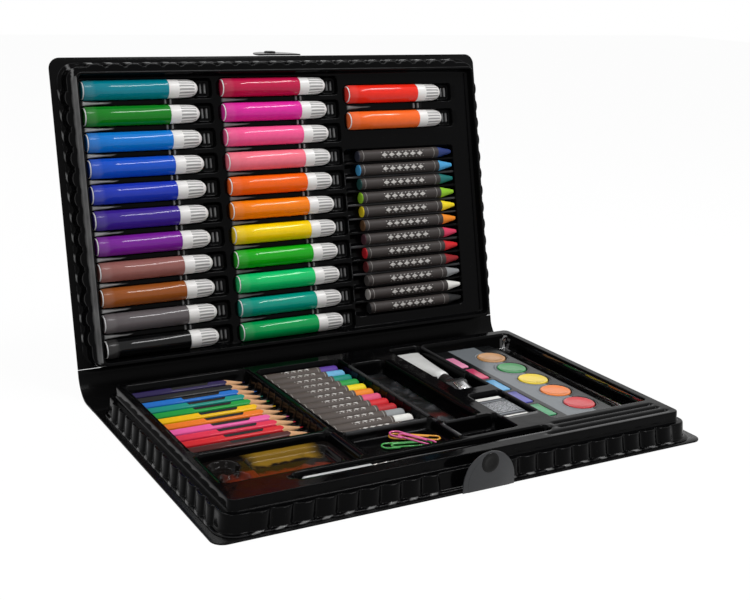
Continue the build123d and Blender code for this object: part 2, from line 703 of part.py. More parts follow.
def build_eraser():
    """The eraser and the paper band round its middle."""
    width, length, height = ERASER
    inset, paper = ERASER_BAND
    z0 = TOOL_FLOOR + SETTLE
    z1 = z0 + height
    x0, x1 = TOOL_MIDDLE - width / 2, TOOL_MIDDLE + width / 2
    y0, y1 = ERASER_FRONT, ERASER_FRONT + length
    outer = block(x0, x1, y0 + inset, y1 - inset, z0, z1)
    core = block(x0 + paper, x1 - paper, y0, y1, z0 + paper, z1 - paper)
    return core, outer - core


def build_sharpener():
    """A wedge sharpener: body with its tapered hole and finger waists, blade and screw."""
    width, length, height = SHARPENER
    x0, x1 = TOOL_MIDDLE - width / 2, TOOL_MIDDLE + width / 2
    y0, y1 = SHARPENER_FRONT, SHARPENER_FRONT + length
    z0 = TOOL_FLOOR + SETTLE
    low, crest = height * 0.6, y1 - length * 0.2
    side = Plane(origin=(x0, 0, 0), x_dir=(0, 1, 0), z_dir=(1, 0, 0))
    profile = Polyline(
        (y0, z0), (y1, z0), (y1, z0 + height), (crest, z0 + height), (y0, z0 + low), close=True
    )
    body = extrude(side * make_face(profile), width)
    for x in (x0, x1):
        body -= disc(x, (y0 + y1) / 2, z0 - 1, z0 + height + 1, width * 0.12, THICK_SIDES)
    bore = (z0 + height * 0.42, SHARPENER_BORE / 2)
    body -= rod_y(y0 + 2, y1 + 1, TOOL_MIDDLE, bore[0], bore[1] / 3, bore[1])
    tilt = atan2(height - low, crest - y0)
    slope = Pos(TOOL_MIDDLE, (y0 + crest) / 2, z0 + (low + height) / 2) * Rot(degrees(tilt), 0, 0)
    blade_length = (crest - y0) * 0.8
    blade = slope * Pos(0, 0, BLADE / 2) * Box(width * 0.5, blade_length, BLADE)
    screw = slope * disc(0, 0, BLADE, 2 * BLADE, width * 0.14, THIN_SIDES)
    return body, blade, screw


def build_glue():
    """The glue tube, flattened at its crimp, and its cap."""
    neck = GLUE_NECK / 2
    z = TOOL_FLOOR + SETTLE + neck
    cap_diameter, cap_length = GLUE_CAP
    shoulder = GLUE_FRONT + cap_length
    cap = rod_y(
        GLUE_FRONT, shoulder, TOOL_MIDDLE, z, cap_diameter / 2 - FIT, cap_diameter / 2, THICK_SIDES
    )
    across = Plane(origin=(TOOL_MIDDLE, shoulder, z), x_dir=(-1, 0, 0), z_dir=(0, 1, 0))
    round_end = facet_ring(neck, THICK_SIDES, 0, neck)
    flat_end = facet_ring(GLUE_CRIMP_WIDTH / 2, THICK_SIDES, GLUE_LENGTH, GLUE_CRIMP / 2)
    lowered = [point + Vector(0, GLUE_CRIMP / 2 - neck, 0) for point in flat_end]
    return across.location * skin(round_end, lowered), cap


def build_clip(x, y, turn, level):
    """One wire clip lying in its well, on top of the ones below it."""
    inner, chamfer = CLIP_WIDTH - 2 * CLIP_WIRE, CLIP_WIDTH * 0.25
    corners = [
        (CLIP_LENGTH * 0.3, 0), (chamfer, 0), (0, chamfer), (0, CLIP_WIDTH - chamfer),
        (chamfer, CLIP_WIDTH), (CLIP_LENGTH - chamfer, CLIP_WIDTH),
        (CLIP_LENGTH, CLIP_WIDTH - chamfer), (CLIP_LENGTH, CLIP_WIDTH - inner + chamfer),
        (CLIP_LENGTH - chamfer, CLIP_WIDTH - inner), (CLIP_LENGTH * 0.2, CLIP_WIDTH - inner),
    ]
    path = Polyline(*corners)
    start = Plane(origin=corners[0] + (0,), x_dir=(0, 1, 0), z_dir=(-1, 0, 0))
    wire = sweep(start * Rectangle(CLIP_WIRE, CLIP_WIRE), path, transition=Transition.RIGHT)
    lift = CLIP_FLOOR + SETTLE + CLIP_WIRE / 2 + level * (CLIP_WIRE + SETTLE)
    return Pos(x, y, lift) * Rot(0, 0, turn) * Pos(0, -CLIP_WIDTH / 2, 0) * wire


# Places of the assembled pieces

TO_PART_FRAME = Pos(-SHEET_WIDTH / 2, -PANEL_DEPTH / 2, 0)
LEAN = radians(LID_LEAN)
LID_ORIGIN = Vector(0, LID_CREASE[0], LID_CREASE[1]) - Vector(0, -cos(LEAN), sin(LEAN)) * HALF
LID_PLACE = Plane(
    origin=LID_ORIGIN, x_dir=(1, 0, 0), z_dir=(0, -cos(LEAN), sin(LEAN))
).location
FLAP_PLACE = Pos(CLASP_X, -PANEL_END, HALF) * Rot(90, 0, 0)
TAB_PLACE = Pos(CLASP_X, PANEL_DEPTH + PANEL_END, HALF) * Rot(-TAB_BACK_ANGLE, 0, 0)


def assemble():
    """Every node's solids, in the part's frame."""
    nodes = {}

    def add(name, shapes, place=None):
        listed = shapes if isinstance(shapes, (list, tuple)) else [shapes]
        if place is not None:
            listed = [place * shape for shape in listed]
        nodes[name] = [TO_PART_FRAME * shape for shape in listed]

    add("cover_base", build_cover_base())
    add("cover_spine", build_spine())
    add("cover_lid", build_cover_lid(), LID_PLACE)
    add("tray_base", build_tray_base())
    add("tray_lid", build_tray_lid(), LID_PLACE)
    add("clasp_flap", build_flap_flat(), FLAP_PLACE)
    add("clasp_snap", build_snap_flat(), FLAP_PLACE)
    add("lid_tab", build_tab_flat(), LID_PLACE * TAB_PLACE)
    add("lid_tab_stud", build_stud_flat(), LID_PLACE * TAB_PLACE)

    barrels, cones, leads = build_pencils()
    add("pencil_barrels", barrels)
    add("pencil_wood_cones", cones)
    add("pencil_leads", leads)
    sleeves, sticks = build_pastels()
    add("pastel_sleeves", sleeves)
    add("pastel_sticks", sticks)
    column_names = ("left", "middle", "right")
    marker_barrels, marker_caps = build_markers()
    for name, column, caps in zip(column_names, marker_barrels, marker_caps):
        add(f"marker_barrels_{name}", column, LID_PLACE)
        add(f"marker_caps_{name}", caps, LID_PLACE)
    wrappers, crayons = build_crayons()
    add("crayon_wrappers", wrappers, LID_PLACE)
    add("crayon_sticks", crayons, LID_PLACE)

    plate, cakes, pans = build_paint_palette()
    add("paint_palette", plate)
    cake_names = ("red", "orange", "yellow", "green", "tan")
    pan_names = ("green", "violet", "blue", "rose", "pink")
    for name, cake in zip(cake_names, cakes):
        add(f"paint_cake_{name}", cake)
    for name, pan in zip(pan_names, pans):
        add(f"paint_pan_{name}", pan)
    add("mixing_palette", build_mixing_palette())
    guard, hair, ferrule, handle = build_brush()
    add("brush_guard", guard)
    add("brush_hair", hair)
    add("brush_ferrule", ferrule)
    add("brush_handle", handle)
    core, band = build_eraser()
    add("eraser", core)
    add("eraser_band", band)
    body, blade, screw = build_sharpener()
    add("sharpener_body", body)
    add("sharpener_blade", blade)
    add("sharpener_screw", screw)
    tube, cap = build_glue()
    add("glue_tube", tube)
    add("glue_cap", cap)
    for level, (name, x, y, turn) in enumerate(CLIPS):
        add(f"clip_{name}", build_clip(PASTEL_WELL_LEFT + x, CLIP_FRONT + y, turn, level))
    return nodes


def main():
    os.makedirs("parts", exist_ok=True)
    for name, solids in assemble().items():
        pieces = [solid for shape in solids for solid in shape.solids()]
        export_step(Compound(children=pieces, label=name), f"parts/{name}.step")
        print(name, len(pieces))


main()
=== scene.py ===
import logging
import math
from dataclasses import dataclass, field
from enum import Enum
from typing import Callable, Optional, Sequence

import bpy
import numpy as np
from mathutils import Matrix


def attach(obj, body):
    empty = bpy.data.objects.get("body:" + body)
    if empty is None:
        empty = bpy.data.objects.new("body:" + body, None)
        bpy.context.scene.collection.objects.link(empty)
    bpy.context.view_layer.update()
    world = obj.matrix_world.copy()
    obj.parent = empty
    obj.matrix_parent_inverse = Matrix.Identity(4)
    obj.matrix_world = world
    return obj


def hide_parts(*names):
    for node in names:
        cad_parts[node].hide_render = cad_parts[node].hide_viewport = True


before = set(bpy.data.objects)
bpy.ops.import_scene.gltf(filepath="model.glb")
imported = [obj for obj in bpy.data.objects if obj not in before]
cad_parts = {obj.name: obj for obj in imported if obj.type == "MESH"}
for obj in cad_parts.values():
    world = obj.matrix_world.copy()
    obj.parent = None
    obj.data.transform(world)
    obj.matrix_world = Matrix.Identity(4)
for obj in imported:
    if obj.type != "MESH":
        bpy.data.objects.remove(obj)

# The looks of an open painting set case. Shapes are drawn in millimetres in one of the
# flats of the case, x to the right, y away from its front or its crease, z out of its face,
# and placed in the shared frame in metres.

log = logging.getLogger("painting_set")
MM = 0.001
SHEET_WIDTH = 360.2
PANEL_DEPTH = 223.5
RIM = 20.0
LEDGE = 13.0
CREASE = (258.739, 19.0)
LEAN = math.radians(12.8)
HALF_SHEET = 0.5
Colour = tuple[float, float, float]
Box = tuple[float, float, float, float]
Points = np.ndarray
Height = Callable[[Points, Points], Points]
Profile = Sequence[tuple[float, float]]
BLACK = (0.0, 0.0, 0.0)
ROWS = 12
EDGE_FROM = 0.5
EDGE_GAIN = 2.2


def tint(code: str) -> Colour:
    """Return the linear colour of a web colour code."""
    parts = [int(code[k:k + 2], 16) / 255 for k in (1, 3, 5)]
    return tuple(c / 12.92 if c < 0.04045 else ((c + 0.055) / 1.055) ** 2.4 for c in parts)


def smooth(share: Points) -> Points:
    """Return the share with soft ends, kept between 0 and 1."""
    share = np.clip(share, 0, 1)
    return share * share * (3 - 2 * share)


def grey(level: float) -> Colour:
    """Return a linear grey."""
    return level, level, level


def tints(codes: Sequence[str]) -> tuple[Colour, ...]:
    """Return the linear colours of several web colour codes."""
    return tuple(tint(code) for code in codes)


def off_row(y: Points, front: float, pitch: float) -> Points:
    """Return how far each place lies from the middle of the nearest row."""
    return np.abs((y - front + pitch / 2) % pitch - pitch / 2)


def round_groove(axis: float, radius: float, offset: Points) -> Points:
    """Return the floor's height in a round groove, by how far off its axis a place lies."""
    return axis - np.sqrt(np.maximum(radius ** 2 - offset ** 2, 0))


def shrunk(box: Box, edge: float) -> Box:
    """Return a box drawn in by an edge on every side."""
    x0, x1, y0, y1 = box
    return x0 + edge, x1 - edge, y0 + edge, y1 - edge


@dataclass(frozen=True)
class Flat:
    """One flat of the case: where its own millimetres lie in the shared frame."""

    origin: tuple[float, float, float]
    away: tuple[float, float, float]
    out: tuple[float, float, float]

    def matrix(self) -> Matrix:
        """Return the turn from the flat's millimetres to the frame's metres."""
        rows = [[0.0, self.away[k], self.out[k], self.origin[k]] for k in range(3)]
        rows[0][0] = 1.0
        return Matrix.Scale(MM, 4) @ Matrix(rows + [[0.0, 0.0, 0.0, 1.0]])

    def hinged(self, y: float, z: float, angle: float) -> "Flat":
        """Return a flat that starts in the middle, at y and z, turned up by an angle."""
        away, out, start = (np.array(v, float) for v in (self.away, self.out, self.origin))
        c, s = math.cos(math.radians(angle)), math.sin(math.radians(angle))
        middle = start + away * y + out * z + np.array([SHEET_WIDTH / 2, 0, 0])
        return Flat(tuple(middle), tuple(away * c + out * s), tuple(out * c - away * s))


BASE = Flat((-SHEET_WIDTH / 2, -PANEL_DEPTH / 2, 0.0), (0, 1, 0), (0, 0, 1))
LID = Flat(
    (-SHEET_WIDTH / 2, CREASE[0] - PANEL_DEPTH / 2 + HALF_SHEET * math.cos(LEAN),
     CREASE[1] - HALF_SHEET * math.sin(LEAN)),
    (0, math.sin(LEAN), math.cos(LEAN)),
    (0, -math.cos(LEAN), math.sin(LEAN)),
)


class Node(str, Enum):
    """Node kinds that the finishes and the repeating trees use."""

    BSDF = "ShaderNodeBsdfPrincipled"
    DIFFUSE = "ShaderNodeBsdfDiffuse"
    EMISSION = "ShaderNodeEmission"
    BACKGROUND = "ShaderNodeBackground"
    MIX_SHADER = "ShaderNodeMixShader"
    OUTPUT = "ShaderNodeOutputMaterial"
    WORLD = "ShaderNodeOutputWorld"
    PATH = "ShaderNodeLightPath"
    COORD = "ShaderNodeTexCoord"
    MAPPING = "ShaderNodeMapping"
    NOISE = "ShaderNodeTexNoise"
    VORONOI = "ShaderNodeTexVoronoi"
    RAMP = "ShaderNodeValToRGB"
    MATH = "ShaderNodeMath"
    VECTOR_MATH = "ShaderNodeVectorMath"
    MIX = "ShaderNodeMix"
    SPLIT = "ShaderNodeSeparateXYZ"
    BUMP = "ShaderNodeBump"
    ATTRIBUTE = "ShaderNodeAttribute"
    GROUP_IN = "NodeGroupInput"
    GROUP_OUT = "NodeGroupOutput"
    LINE = "GeometryNodeMeshLine"
    INSTANCES = "GeometryNodeInstanceOnPoints"
    STORE = "GeometryNodeStoreNamedAttribute"
    NAMED = "GeometryNodeInputNamedAttribute"
    INDEX = "GeometryNodeInputIndex"
    SET_POSITION = "GeometryNodeSetPosition"
    TO_CURVE = "GeometryNodeMeshToCurve"
    FILLET = "GeometryNodeFilletCurve"
    CIRCLE = "GeometryNodeCurvePrimitiveCircle"
    TO_MESH = "GeometryNodeCurveToMesh"
    REALIZE = "GeometryNodeRealizeInstances"
    SET_MATERIAL = "GeometryNodeSetMaterial"


class NodeTree:
    """A node tree that is filled node by node."""

    def __init__(self, tree: bpy.types.NodeTree) -> None:
        """Take over an empty tree."""
        self.tree = tree
        self.tree.nodes.clear()

    def node(
        self,
        kind: Node,
        settings: Optional[dict[str, object]] = None,
        values: Optional[dict[object, object]] = None,
    ) -> bpy.types.Node:
        """Add one node.

        Args:
            kind: what node it is.
            settings: its properties, or a ramp's stops under the name "stops".
            values: its inputs by name or number, as numbers or links.

        Returns:
            The new node.
        """
        made = self.tree.nodes.new(kind.value)
        for name, value in (settings or {}).items():
            if name == "stops":
                self.set_stops(made, value)
            else:
                setattr(made, name, value)
        for key, value in (values or {}).items():
            self.put(made.inputs[key], value)
        return made

    def put(self, socket: bpy.types.NodeSocket, value: object) -> None:
        """Link a value to a socket, or set it there as a constant."""
        if isinstance(value, Term):
            value = value.socket
        if isinstance(value, bpy.types.NodeSocket):
            self.tree.links.new(value, socket)
        elif isinstance(value, tuple) and len(value) == 3 and socket.type == "RGBA":
            socket.default_value = (*value, 1.0)
        else:
            socket.default_value = value

    @staticmethod
    def set_stops(ramp: bpy.types.Node, stops: Sequence[tuple[float, object]]) -> None:
        """Give a colour ramp its stops, each a place with a colour or a grey."""
        elements = ramp.color_ramp.elements
        while len(elements) < len(stops):
            elements.new(1.0)
        for element, (place, colour) in zip(elements, stops):
            element.position = place
            element.color = (*(grey(colour) if isinstance(colour, float) else colour), 1.0)


@dataclass(frozen=True)
class Term:
    """A node's value that can be reckoned with in Python expressions."""

    net: NodeTree
    socket: bpy.types.NodeSocket

    def math(self, operation: str, first: object, second: object = 0.0) -> "Term":
        """Return the result of one Math node on two values."""
        node = self.net.node(Node.MATH, {"operation": operation}, {0: first, 1: second})
        return Term(self.net, node.outputs[0])

    def __add__(self, other: object) -> "Term":
        """Return the sum."""
        return self.math("ADD", self, other)

    def __sub__(self, other: object) -> "Term":
        """Return the difference."""
        return self.math("SUBTRACT", self, other)

    def __rsub__(self, other: object) -> "Term":
        """Return the reflected difference."""
        return self.math("SUBTRACT", other, self)

    def __mul__(self, other: object) -> "Term":
        """Return the product."""
        return self.math("MULTIPLY", self, other)

    def __truediv__(self, other: object) -> "Term":
        """Return the quotient."""
        return self.math("DIVIDE", self, other)

    def __pow__(self, other: object) -> "Term":
        """Return the power."""
        return self.math("POWER", self, other)

    def __gt__(self, other: object) -> "Term":
        """Return 1 where this is the greater."""
        return self.math("GREATER_THAN", self, other)

    def __lt__(self, other: object) -> "Term":
        """Return 1 where this is the smaller."""
        return self.math("LESS_THAN", self, other)

    def __abs__(self) -> "Term":
        """Return the value without its sign."""
        return self.math("ABSOLUTE", self)

    def sine(self) -> "Term":
        """Return the sine."""
        return self.math("SINE", self)

    def beat(self, pitch: float) -> "Term":
        """Return the value's place within each pitch, from 0 to 1."""
        return self.math("FRACT", self / pitch)

    def least(self, other: object) -> "Term":
        """Return the smaller of the two."""
        return self.math("MINIMUM", self, other)


class Net(NodeTree):
    """The node tree of one material."""

    def __init__(self, name: str) -> None:
        """Start an empty material of that name."""
        self.material = bpy.data.materials.new(name)
        self.material.use_nodes = True
        super().__init__(self.material.node_tree)

    def ramp(self, value: object, stops: Sequence[tuple[float, object]],
             steps: bool = False) -> Term:
        """Return a colour read from a ramp, in steps where asked."""
        node = self.node(Node.RAMP, {"stops": stops}, {"Fac": value})
        if steps:
            node.color_ramp.interpolation = "CONSTANT"
        return Term(self, node.outputs["Color"])

    def math_of(self, operation: str, first: Term, second: object = 0.0) -> Term:
        """Return the result of one Math node."""
        return first.math(operation, first, second)

    def mix(self, share: object, first: object, second: object) -> Term:
        """Return a colour between two, by share."""
        node = self.node(Node.MIX, {"data_type": "RGBA"}, {0: share, 6: first, 7: second})
        return Term(self, node.outputs[2])

    def vector(self, attribute: Optional[str] = None) -> bpy.types.NodeSocket:
        """Return the object's coordinates, or a stored vector, as one socket."""
        if attribute:
            node = self.node(Node.ATTRIBUTE, {"attribute_name": attribute})
            return node.outputs["Vector"]
        return self.node(Node.COORD).outputs["Object"]

    def place(self, attribute: Optional[str] = None) -> tuple[Term, Term, Term]:
        """Return x, y and z of the object's coordinates, or of a stored place."""
        split = self.node(Node.SPLIT, None, {0: self.vector(attribute)})
        return tuple(Term(self, split.outputs[k]) for k in range(3))

    def number(self, attribute: str) -> Term:
        """Return a stored number of the surface."""
        node = self.node(Node.ATTRIBUTE, {"attribute_name": attribute})
        return Term(self, node.outputs["Fac"])

    def row_colour(self, colours: Sequence[Colour]) -> Term:
        """Return the colour of the stick's own row."""
        stops = [(row / len(colours), colour) for row, colour in enumerate(colours)]
        return self.ramp((self.number("row") + 0.5) / len(colours), stops, steps=True)

    def noise(self, scale: float, detail: float = 3.0, attribute: Optional[str] = None,
              stretch: Colour = (1.0, 1.0, 1.0)) -> Term:
        """Return a noise value.

        Args:
            scale: spots to the metre, or to the stored place's unit.
            detail: how many finer layers it has.
            attribute: the stored place it reads, if not the object's.
            stretch: scale of each axis.

        Returns:
            The noise, from 0 to 1.
        """
        scaled = self.node(Node.MAPPING, None, {0: self.vector(attribute), 3: stretch})
        values = {0: scaled.outputs[0], "Scale": scale, "Detail": detail}
        return Term(self, self.node(Node.NOISE, None, values).outputs[0])

    def bump(self, height: object, strength: float, distance: float) -> bpy.types.NodeSocket:
        """Return a normal bent by a height."""
        values = {"Strength": strength, "Distance": distance, "Height": height}
        return self.node(Node.BUMP, None, values).outputs[0]

    def finish(self, **values: object) -> bpy.types.Material:
        """Close the material with its surface shader.

        Args:
            **values: the shader's inputs, with _ for a space in their names.

        Returns:
            The finished material.
        """
        named = {key.replace("_", " "): value for key, value in values.items()}
        surface = self.node(Node.BSDF, None, named)
        self.node(Node.OUTPUT, None, {"Surface": surface.outputs[0]})
        return self.material


@dataclass(frozen=True)
class Plastic:
    """Moulded or extruded plastic, paint or rubber with faint clouds and fine grain."""

    name: str
    colour: Colour
    roughness: float = 0.25
    grain: float = 0.0
    specular: float = 0.5
    coat: float = 0.0
    transmission: float = 0.0

    def build(self) -> bpy.types.Material:
        """Return the material."""
        net = Net(self.name)
        cloud = net.noise(60.0, 4.0)
        fine = net.noise(2400.0, 2.0)
        dark = tuple(c * 0.8 for c in self.colour)
        light = tuple(min(1.0, c * 1.15) for c in self.colour)
        rough = cloud * (self.roughness * 0.5) + self.roughness * 0.75
        return net.finish(
            Base_Color=net.mix(cloud, dark, light), Roughness=rough,
            Normal=net.bump(fine * self.grain + cloud * 0.3, 0.25, 0.0004),
            Specular_IOR_Level=self.specular, Coat_Weight=self.coat,
            Transmission_Weight=self.transmission,
        )


@dataclass(frozen=True)
class FormedSheet:
    """Glossy black formed sheet: a little wavy, with dust, painted highlights on its convex edges
    and painted highlights where its glint is set.

    Its smoothest part is the wall beside the paints, between the x and the y of mirror
    and below its z, in metres.
    """

    name: str = "formed_black"
    colour: Colour = (0.0016, 0.0016, 0.0018)
    # The next colour is a painted highlight for the convex edges.
    edge_highlight: Colour = (0.05, 0.05, 0.052)
    # pale is the painted highlight colour where glint is set, and also the dust's colour.
    pale: Colour = grey(0.42)
    specular: float = 0.08
    shine: Colour = grey(0.55)
    mirror_ior: float = 2.4
    mirror: tuple[float, ...] = (0.1545, 0.1604, -0.079, 0.096, 0.0185)

    def build(self) -> bpy.types.Material:
        """Return the material."""
        net = Net(self.name)
        wavy = net.noise(55.0, 3.0)
        dust = net.noise(900.0, 5.0) > 0.72
        scuff = net.noise(140.0, 6.0, stretch=(1.0, 5.0, 1.0)) > 0.68
        # Painted highlights: convex edges are made lighter in colour.
        edge = net.ramp(net.number("edge"), [(0.45, 0.0), (1.0, 1.0)])
        colour = net.mix(edge * (wavy + 0.3), self.colour, self.edge_highlight)
        # Painted highlights: the places where glint is set get the pale colour.
        colour = net.mix(net.number("glint") * (wavy + 0.1), colour, self.pale)
        colour = net.mix(dust * 0.03, colour, self.pale)
        rough = wavy * 0.08 + scuff * 0.08 + 0.07
        x, y, z = net.place()
        low, high, front, back, top = self.mirror
        mirror = (x > low) * (x < high) * (y > front) * (y < back) * (z < top)
        return net.finish(
            Base_Color=colour, Roughness=rough, Normal=net.bump(wavy, 0.3, 0.0012),
            Specular_IOR_Level=self.specular, Specular_Tint=self.shine,
            Coat_Weight=mirror, Coat_IOR=self.mirror_ior,
        )


@dataclass(frozen=True)
class CoverSheet:
    """Black cover sheet with a fine pressed grain."""

    name: str = "cover_grain"

    def build(self) -> bpy.types.Material:
        """Return the material."""
        net = Net(self.name)
        cells = net.node(Node.VORONOI, None, {0: net.vector(), "Scale": 1500.0})
        cloud = net.noise(25.0, 4.0)
        grain = Term(net, cells.outputs[0]) + cloud * 2.0
        return net.finish(
            Base_Color=net.mix(cloud, (0.0015, 0.0015, 0.0016), (0.004, 0.004, 0.0042)),
            Roughness=cloud * 0.14 + 0.16, Normal=net.bump(grain, 0.12, 0.0003),
            Specular_IOR_Level=0.08, Specular_Tint=grey(0.55),
        )


@dataclass(frozen=True)
class RowPaint:
    """Sticks of one set, each row in its own colour.

    Lengths along the stick are in millimetres from its own end: a ring up to end has a painted
    highlight in a pale grey, up to pale it is a little lighter, and between the two of printed
    it has a dark field.
    """

    name: str
    colours: tuple[Colour, ...]
    roughness: float = 0.3
    end: float = -1.0
    end_highlight: Colour = grey(0.8)
    pale: float = -1.0
    printed: Optional[tuple[float, float]] = None
    specular: float = 0.22

    def build(self) -> bpy.types.Material:
        """Return the material."""
        net = Net(self.name)
        x, y, _ = net.place("local")
        worn = net.noise(0.35, 4.0, "local")
        colour = net.mix(worn * 0.16, net.row_colour(self.colours), BLACK)
        if self.pale > 0:
            fade = net.ramp(x / self.pale, [(0.72, 0.03), (1.0, 0.0)])
            colour = net.mix(fade, colour, (0.9, 0.85, 0.83))
        if self.printed:
            low, high = self.printed
            inside = (abs(x - (low + high) / 2) + y * y * 0.35) < (high - low) / 2
            inside = inside * (y > -1.95)
            colour = net.mix(inside, colour, grey(0.006))
        # Painted highlight: a thin pale ring near the stick's end.
        if self.end > 0:
            colour = net.mix((x > 0.22) * (x < self.end), colour, self.end_highlight)
        return net.finish(
            Base_Color=colour, Roughness=worn * 0.12 + (self.roughness - 0.05),
            Normal=net.bump(worn, 0.1, 0.0003), Specular_IOR_Level=self.specular,
        )


@dataclass(frozen=True)
class RibbedCap:
    """White cap plastic, with painted shade in the grooves between its lengthwise ribs."""

    name: str
    colour: Colour
    ribs: int
    span: tuple[float, float]

    def build(self) -> bpy.types.Material:
        """Return the material."""
        net = Net(self.name)
        x, y, z = net.place("local")
        wave = net.math_of("ARCTAN2", z, y) * self.ribs
        low, high = self.span
        # Painted shade: the grooves between the ribs are darkened in colour.
        groove = net.ramp(net.math_of("COSINE", wave), [(0.0, 0.75), (0.45, 0.0)])
        cloud = net.noise(0.2, 3.0, "local")
        colour = net.mix(cloud * 0.1, self.colour, grey(0.5))
        colour = net.mix(groove * (x > low) * (x < high), colour, grey(0.2))
        return net.finish(
            Base_Color=colour, Roughness=cloud * 0.1 + 0.25,
            Normal=net.bump(cloud, 0.1, 0.0003), Specular_IOR_Level=0.3,
        )


@dataclass(frozen=True)
class PaperSleeve:
    """Dark paper wound on a stick, printed with a plain ornament of lozenges and dashes."""

    name: str
    paper: Colour
    ink: Colour
    span: tuple[float, float]
    pitch: float
    height: float
    rings: tuple[float, ...] = ()
    colours: tuple[Colour, ...] = ()
    end: float = 0.0

    def build(self) -> bpy.types.Material:
        """Return the material."""
        net = Net(self.name)
        x, y, _ = net.place("local")
        fibre = net.noise(2.2, 4.0, "local", (0.4, 1.0, 1.0))
        colour = net.mix(fibre, tuple(c * 0.6 for c in self.paper), self.paper)
        middle = abs(x.beat(self.pitch) - 0.5)
        lozenge = (middle * 2.4 + abs(y) / self.height) < 1.0
        dash = (x.beat(self.pitch / 2) < 0.34) * (abs(abs(y) - self.height * 1.3) < 0.22)
        low, high = self.span
        inside = (x > low) * (x < high) * (net.noise(1.6, 3.0, "local") > 0.38)
        print_share = (lozenge + dash).least(1.0) * inside * 0.85
        for ring in self.rings:
            print_share = print_share + (abs(x - ring) < 0.25) * 0.35
        colour = net.mix(print_share.least(1.0), colour, self.ink)
        if self.colours:
            colour = net.mix(x < self.end, colour, net.row_colour(self.colours))
        return net.finish(
            Base_Color=colour, Roughness=fibre * 0.2 + 0.5,
            Normal=net.bump(fibre, 0.2, 0.0002), Specular_IOR_Level=0.3,
        )


@dataclass(frozen=True)
class Wood:
    """Bare sharpened wood with fine long fibres."""

    name: str = "sharpened_wood"

    def build(self) -> bpy.types.Material:
        """Return the material."""
        net = Net(self.name)
        fibre = net.noise(3.0, 5.0, "local", (0.12, 1.0, 1.0))
        rings = net.noise(0.5, 2.0, "local", (0.3, 1.0, 1.0))
        colour = net.mix(fibre, tint("#c88a58"), tint("#eac39a"))
        colour = net.mix(rings * 0.3, colour, tint("#a86a3c"))
        return net.finish(
            Base_Color=colour, Roughness=fibre * 0.2 + 0.6,
            Normal=net.bump(fibre, 0.4, 0.0002), Specular_IOR_Level=0.25,
        )


@dataclass(frozen=True)
class Metal:
    """Ground or drawn metal with fine lines."""

    name: str
    colour: Colour
    roughness: float

    def build(self) -> bpy.types.Material:
        """Return the material."""
        net = Net(self.name)
        lines = net.noise(1200.0, 2.0, None, (0.08, 1.0, 1.0))
        colour = net.mix(lines, tuple(c * 0.75 for c in self.colour), self.colour)
        return net.finish(
            Base_Color=colour, Metallic=1.0, Roughness=lines * 0.15 + self.roughness,
            Normal=net.bump(lines, 0.15, 0.0001),
        )


@dataclass(frozen=True)
class Zoned:
    """A plastic plate with a second tone in a zone of its length, and clouds between."""

    name: str
    tones: tuple[Colour, Colour]
    zone: tuple[float, float]
    blur: float
    roughness: float = 0.15

    def build(self) -> bpy.types.Material:
        """Return the material."""
        net = Net(self.name)
        x, _, _ = net.place("local")
        cloud = net.noise(0.12, 4.0, "local")
        soft = [(0.2, 0.0), (0.8, 1.0)]
        share = net.ramp((x - self.zone[0]) / self.blur + cloud * 0.5, soft)
        share = share * net.ramp((self.zone[1] - x) / self.blur + cloud * 0.5, soft)
        return net.finish(
            Base_Color=net.mix(share, *self.tones),
            Roughness=cloud * 0.15 + self.roughness, Normal=net.bump(cloud, 0.2, 0.0005),
            Specular_IOR_Level=0.25,
        )


@dataclass(frozen=True)
class SmokyAmber:
    """Smoky see-through plastic over black: dark, gold at the back and red-brown in front."""

    name: str
    box: Box
    gold: Colour
    russet: Colour

    def build(self) -> bpy.types.Material:
        """Return the material."""
        net = Net(self.name)
        x, y, _ = net.place("local")
        x0, x1, y0, y1 = self.box
        cloud = net.noise(0.09, 4.0, "local")
        drift = cloud * 1.6 - 0.8
        soft = [(0.35, 0.0), (0.6, 1.0)]
        back = net.ramp((y - y0) / (y1 - y0) * 1.6 - 0.62 + drift, soft)
        front = net.ramp((y1 - y) / (y1 - y0) * 1.7 - 0.45 + drift, soft)
        share = (x - x0) / (x1 - x0)
        middle = net.ramp(share, [(0.3, 0.0), (0.42, 1.0), (0.8, 1.0), (0.9, 0.0)])
        wide = net.ramp(share, [(0.06, 0.0), (0.16, 1.0), (0.84, 1.0), (0.92, 0.0)])
        colour = net.mix(back * middle, tint("#0d0a09"), self.gold)
        colour = net.mix(front * wide, colour, self.russet)
        return net.finish(
            Base_Color=colour, Roughness=cloud * 0.1 + 0.08,
            Normal=net.bump(cloud, 0.1, 0.0005), Specular_IOR_Level=0.1,
            Specular_Tint=grey(0.6),
        )


@dataclass(frozen=True)
class Relief:
    """Dark pressed relief with painted highlights on its heights and a painted red reflection at
    one end.
    """

    name: str = "pressed_relief"
    red_reflection_middle: float = 98.0
    red_reflection_reach: float = 16.0

    def build(self) -> bpy.types.Material:
        """Return the material."""
        net = Net(self.name)
        _, y, z = net.place("local")
        spots = net.noise(0.45, 5.0, "local")
        # Painted highlights: the heights are made lighter where the spots are.
        high = net.ramp((z - 9.0) / 1.6, [(0.35, 0.0), (0.9, 1.0)])
        away = abs(y - self.red_reflection_middle) / self.red_reflection_reach
        # Painted reflection: a red patch round one place along its length.
        painted_red_reflection = net.ramp(1.2 - away - spots, [(0.3, 0.0), (0.6, 1.0)])
        heights = net.mix(painted_red_reflection, tint("#34363a"), tint("#b42a1c"))
        return net.finish(
            Base_Color=net.mix(high * spots, tint("#0c0c0c"), heights),
            Roughness=spots * 0.3 + 0.2, Normal=net.bump(spots, 0.4, 0.0006),
            Specular_IOR_Level=0.25,
        )


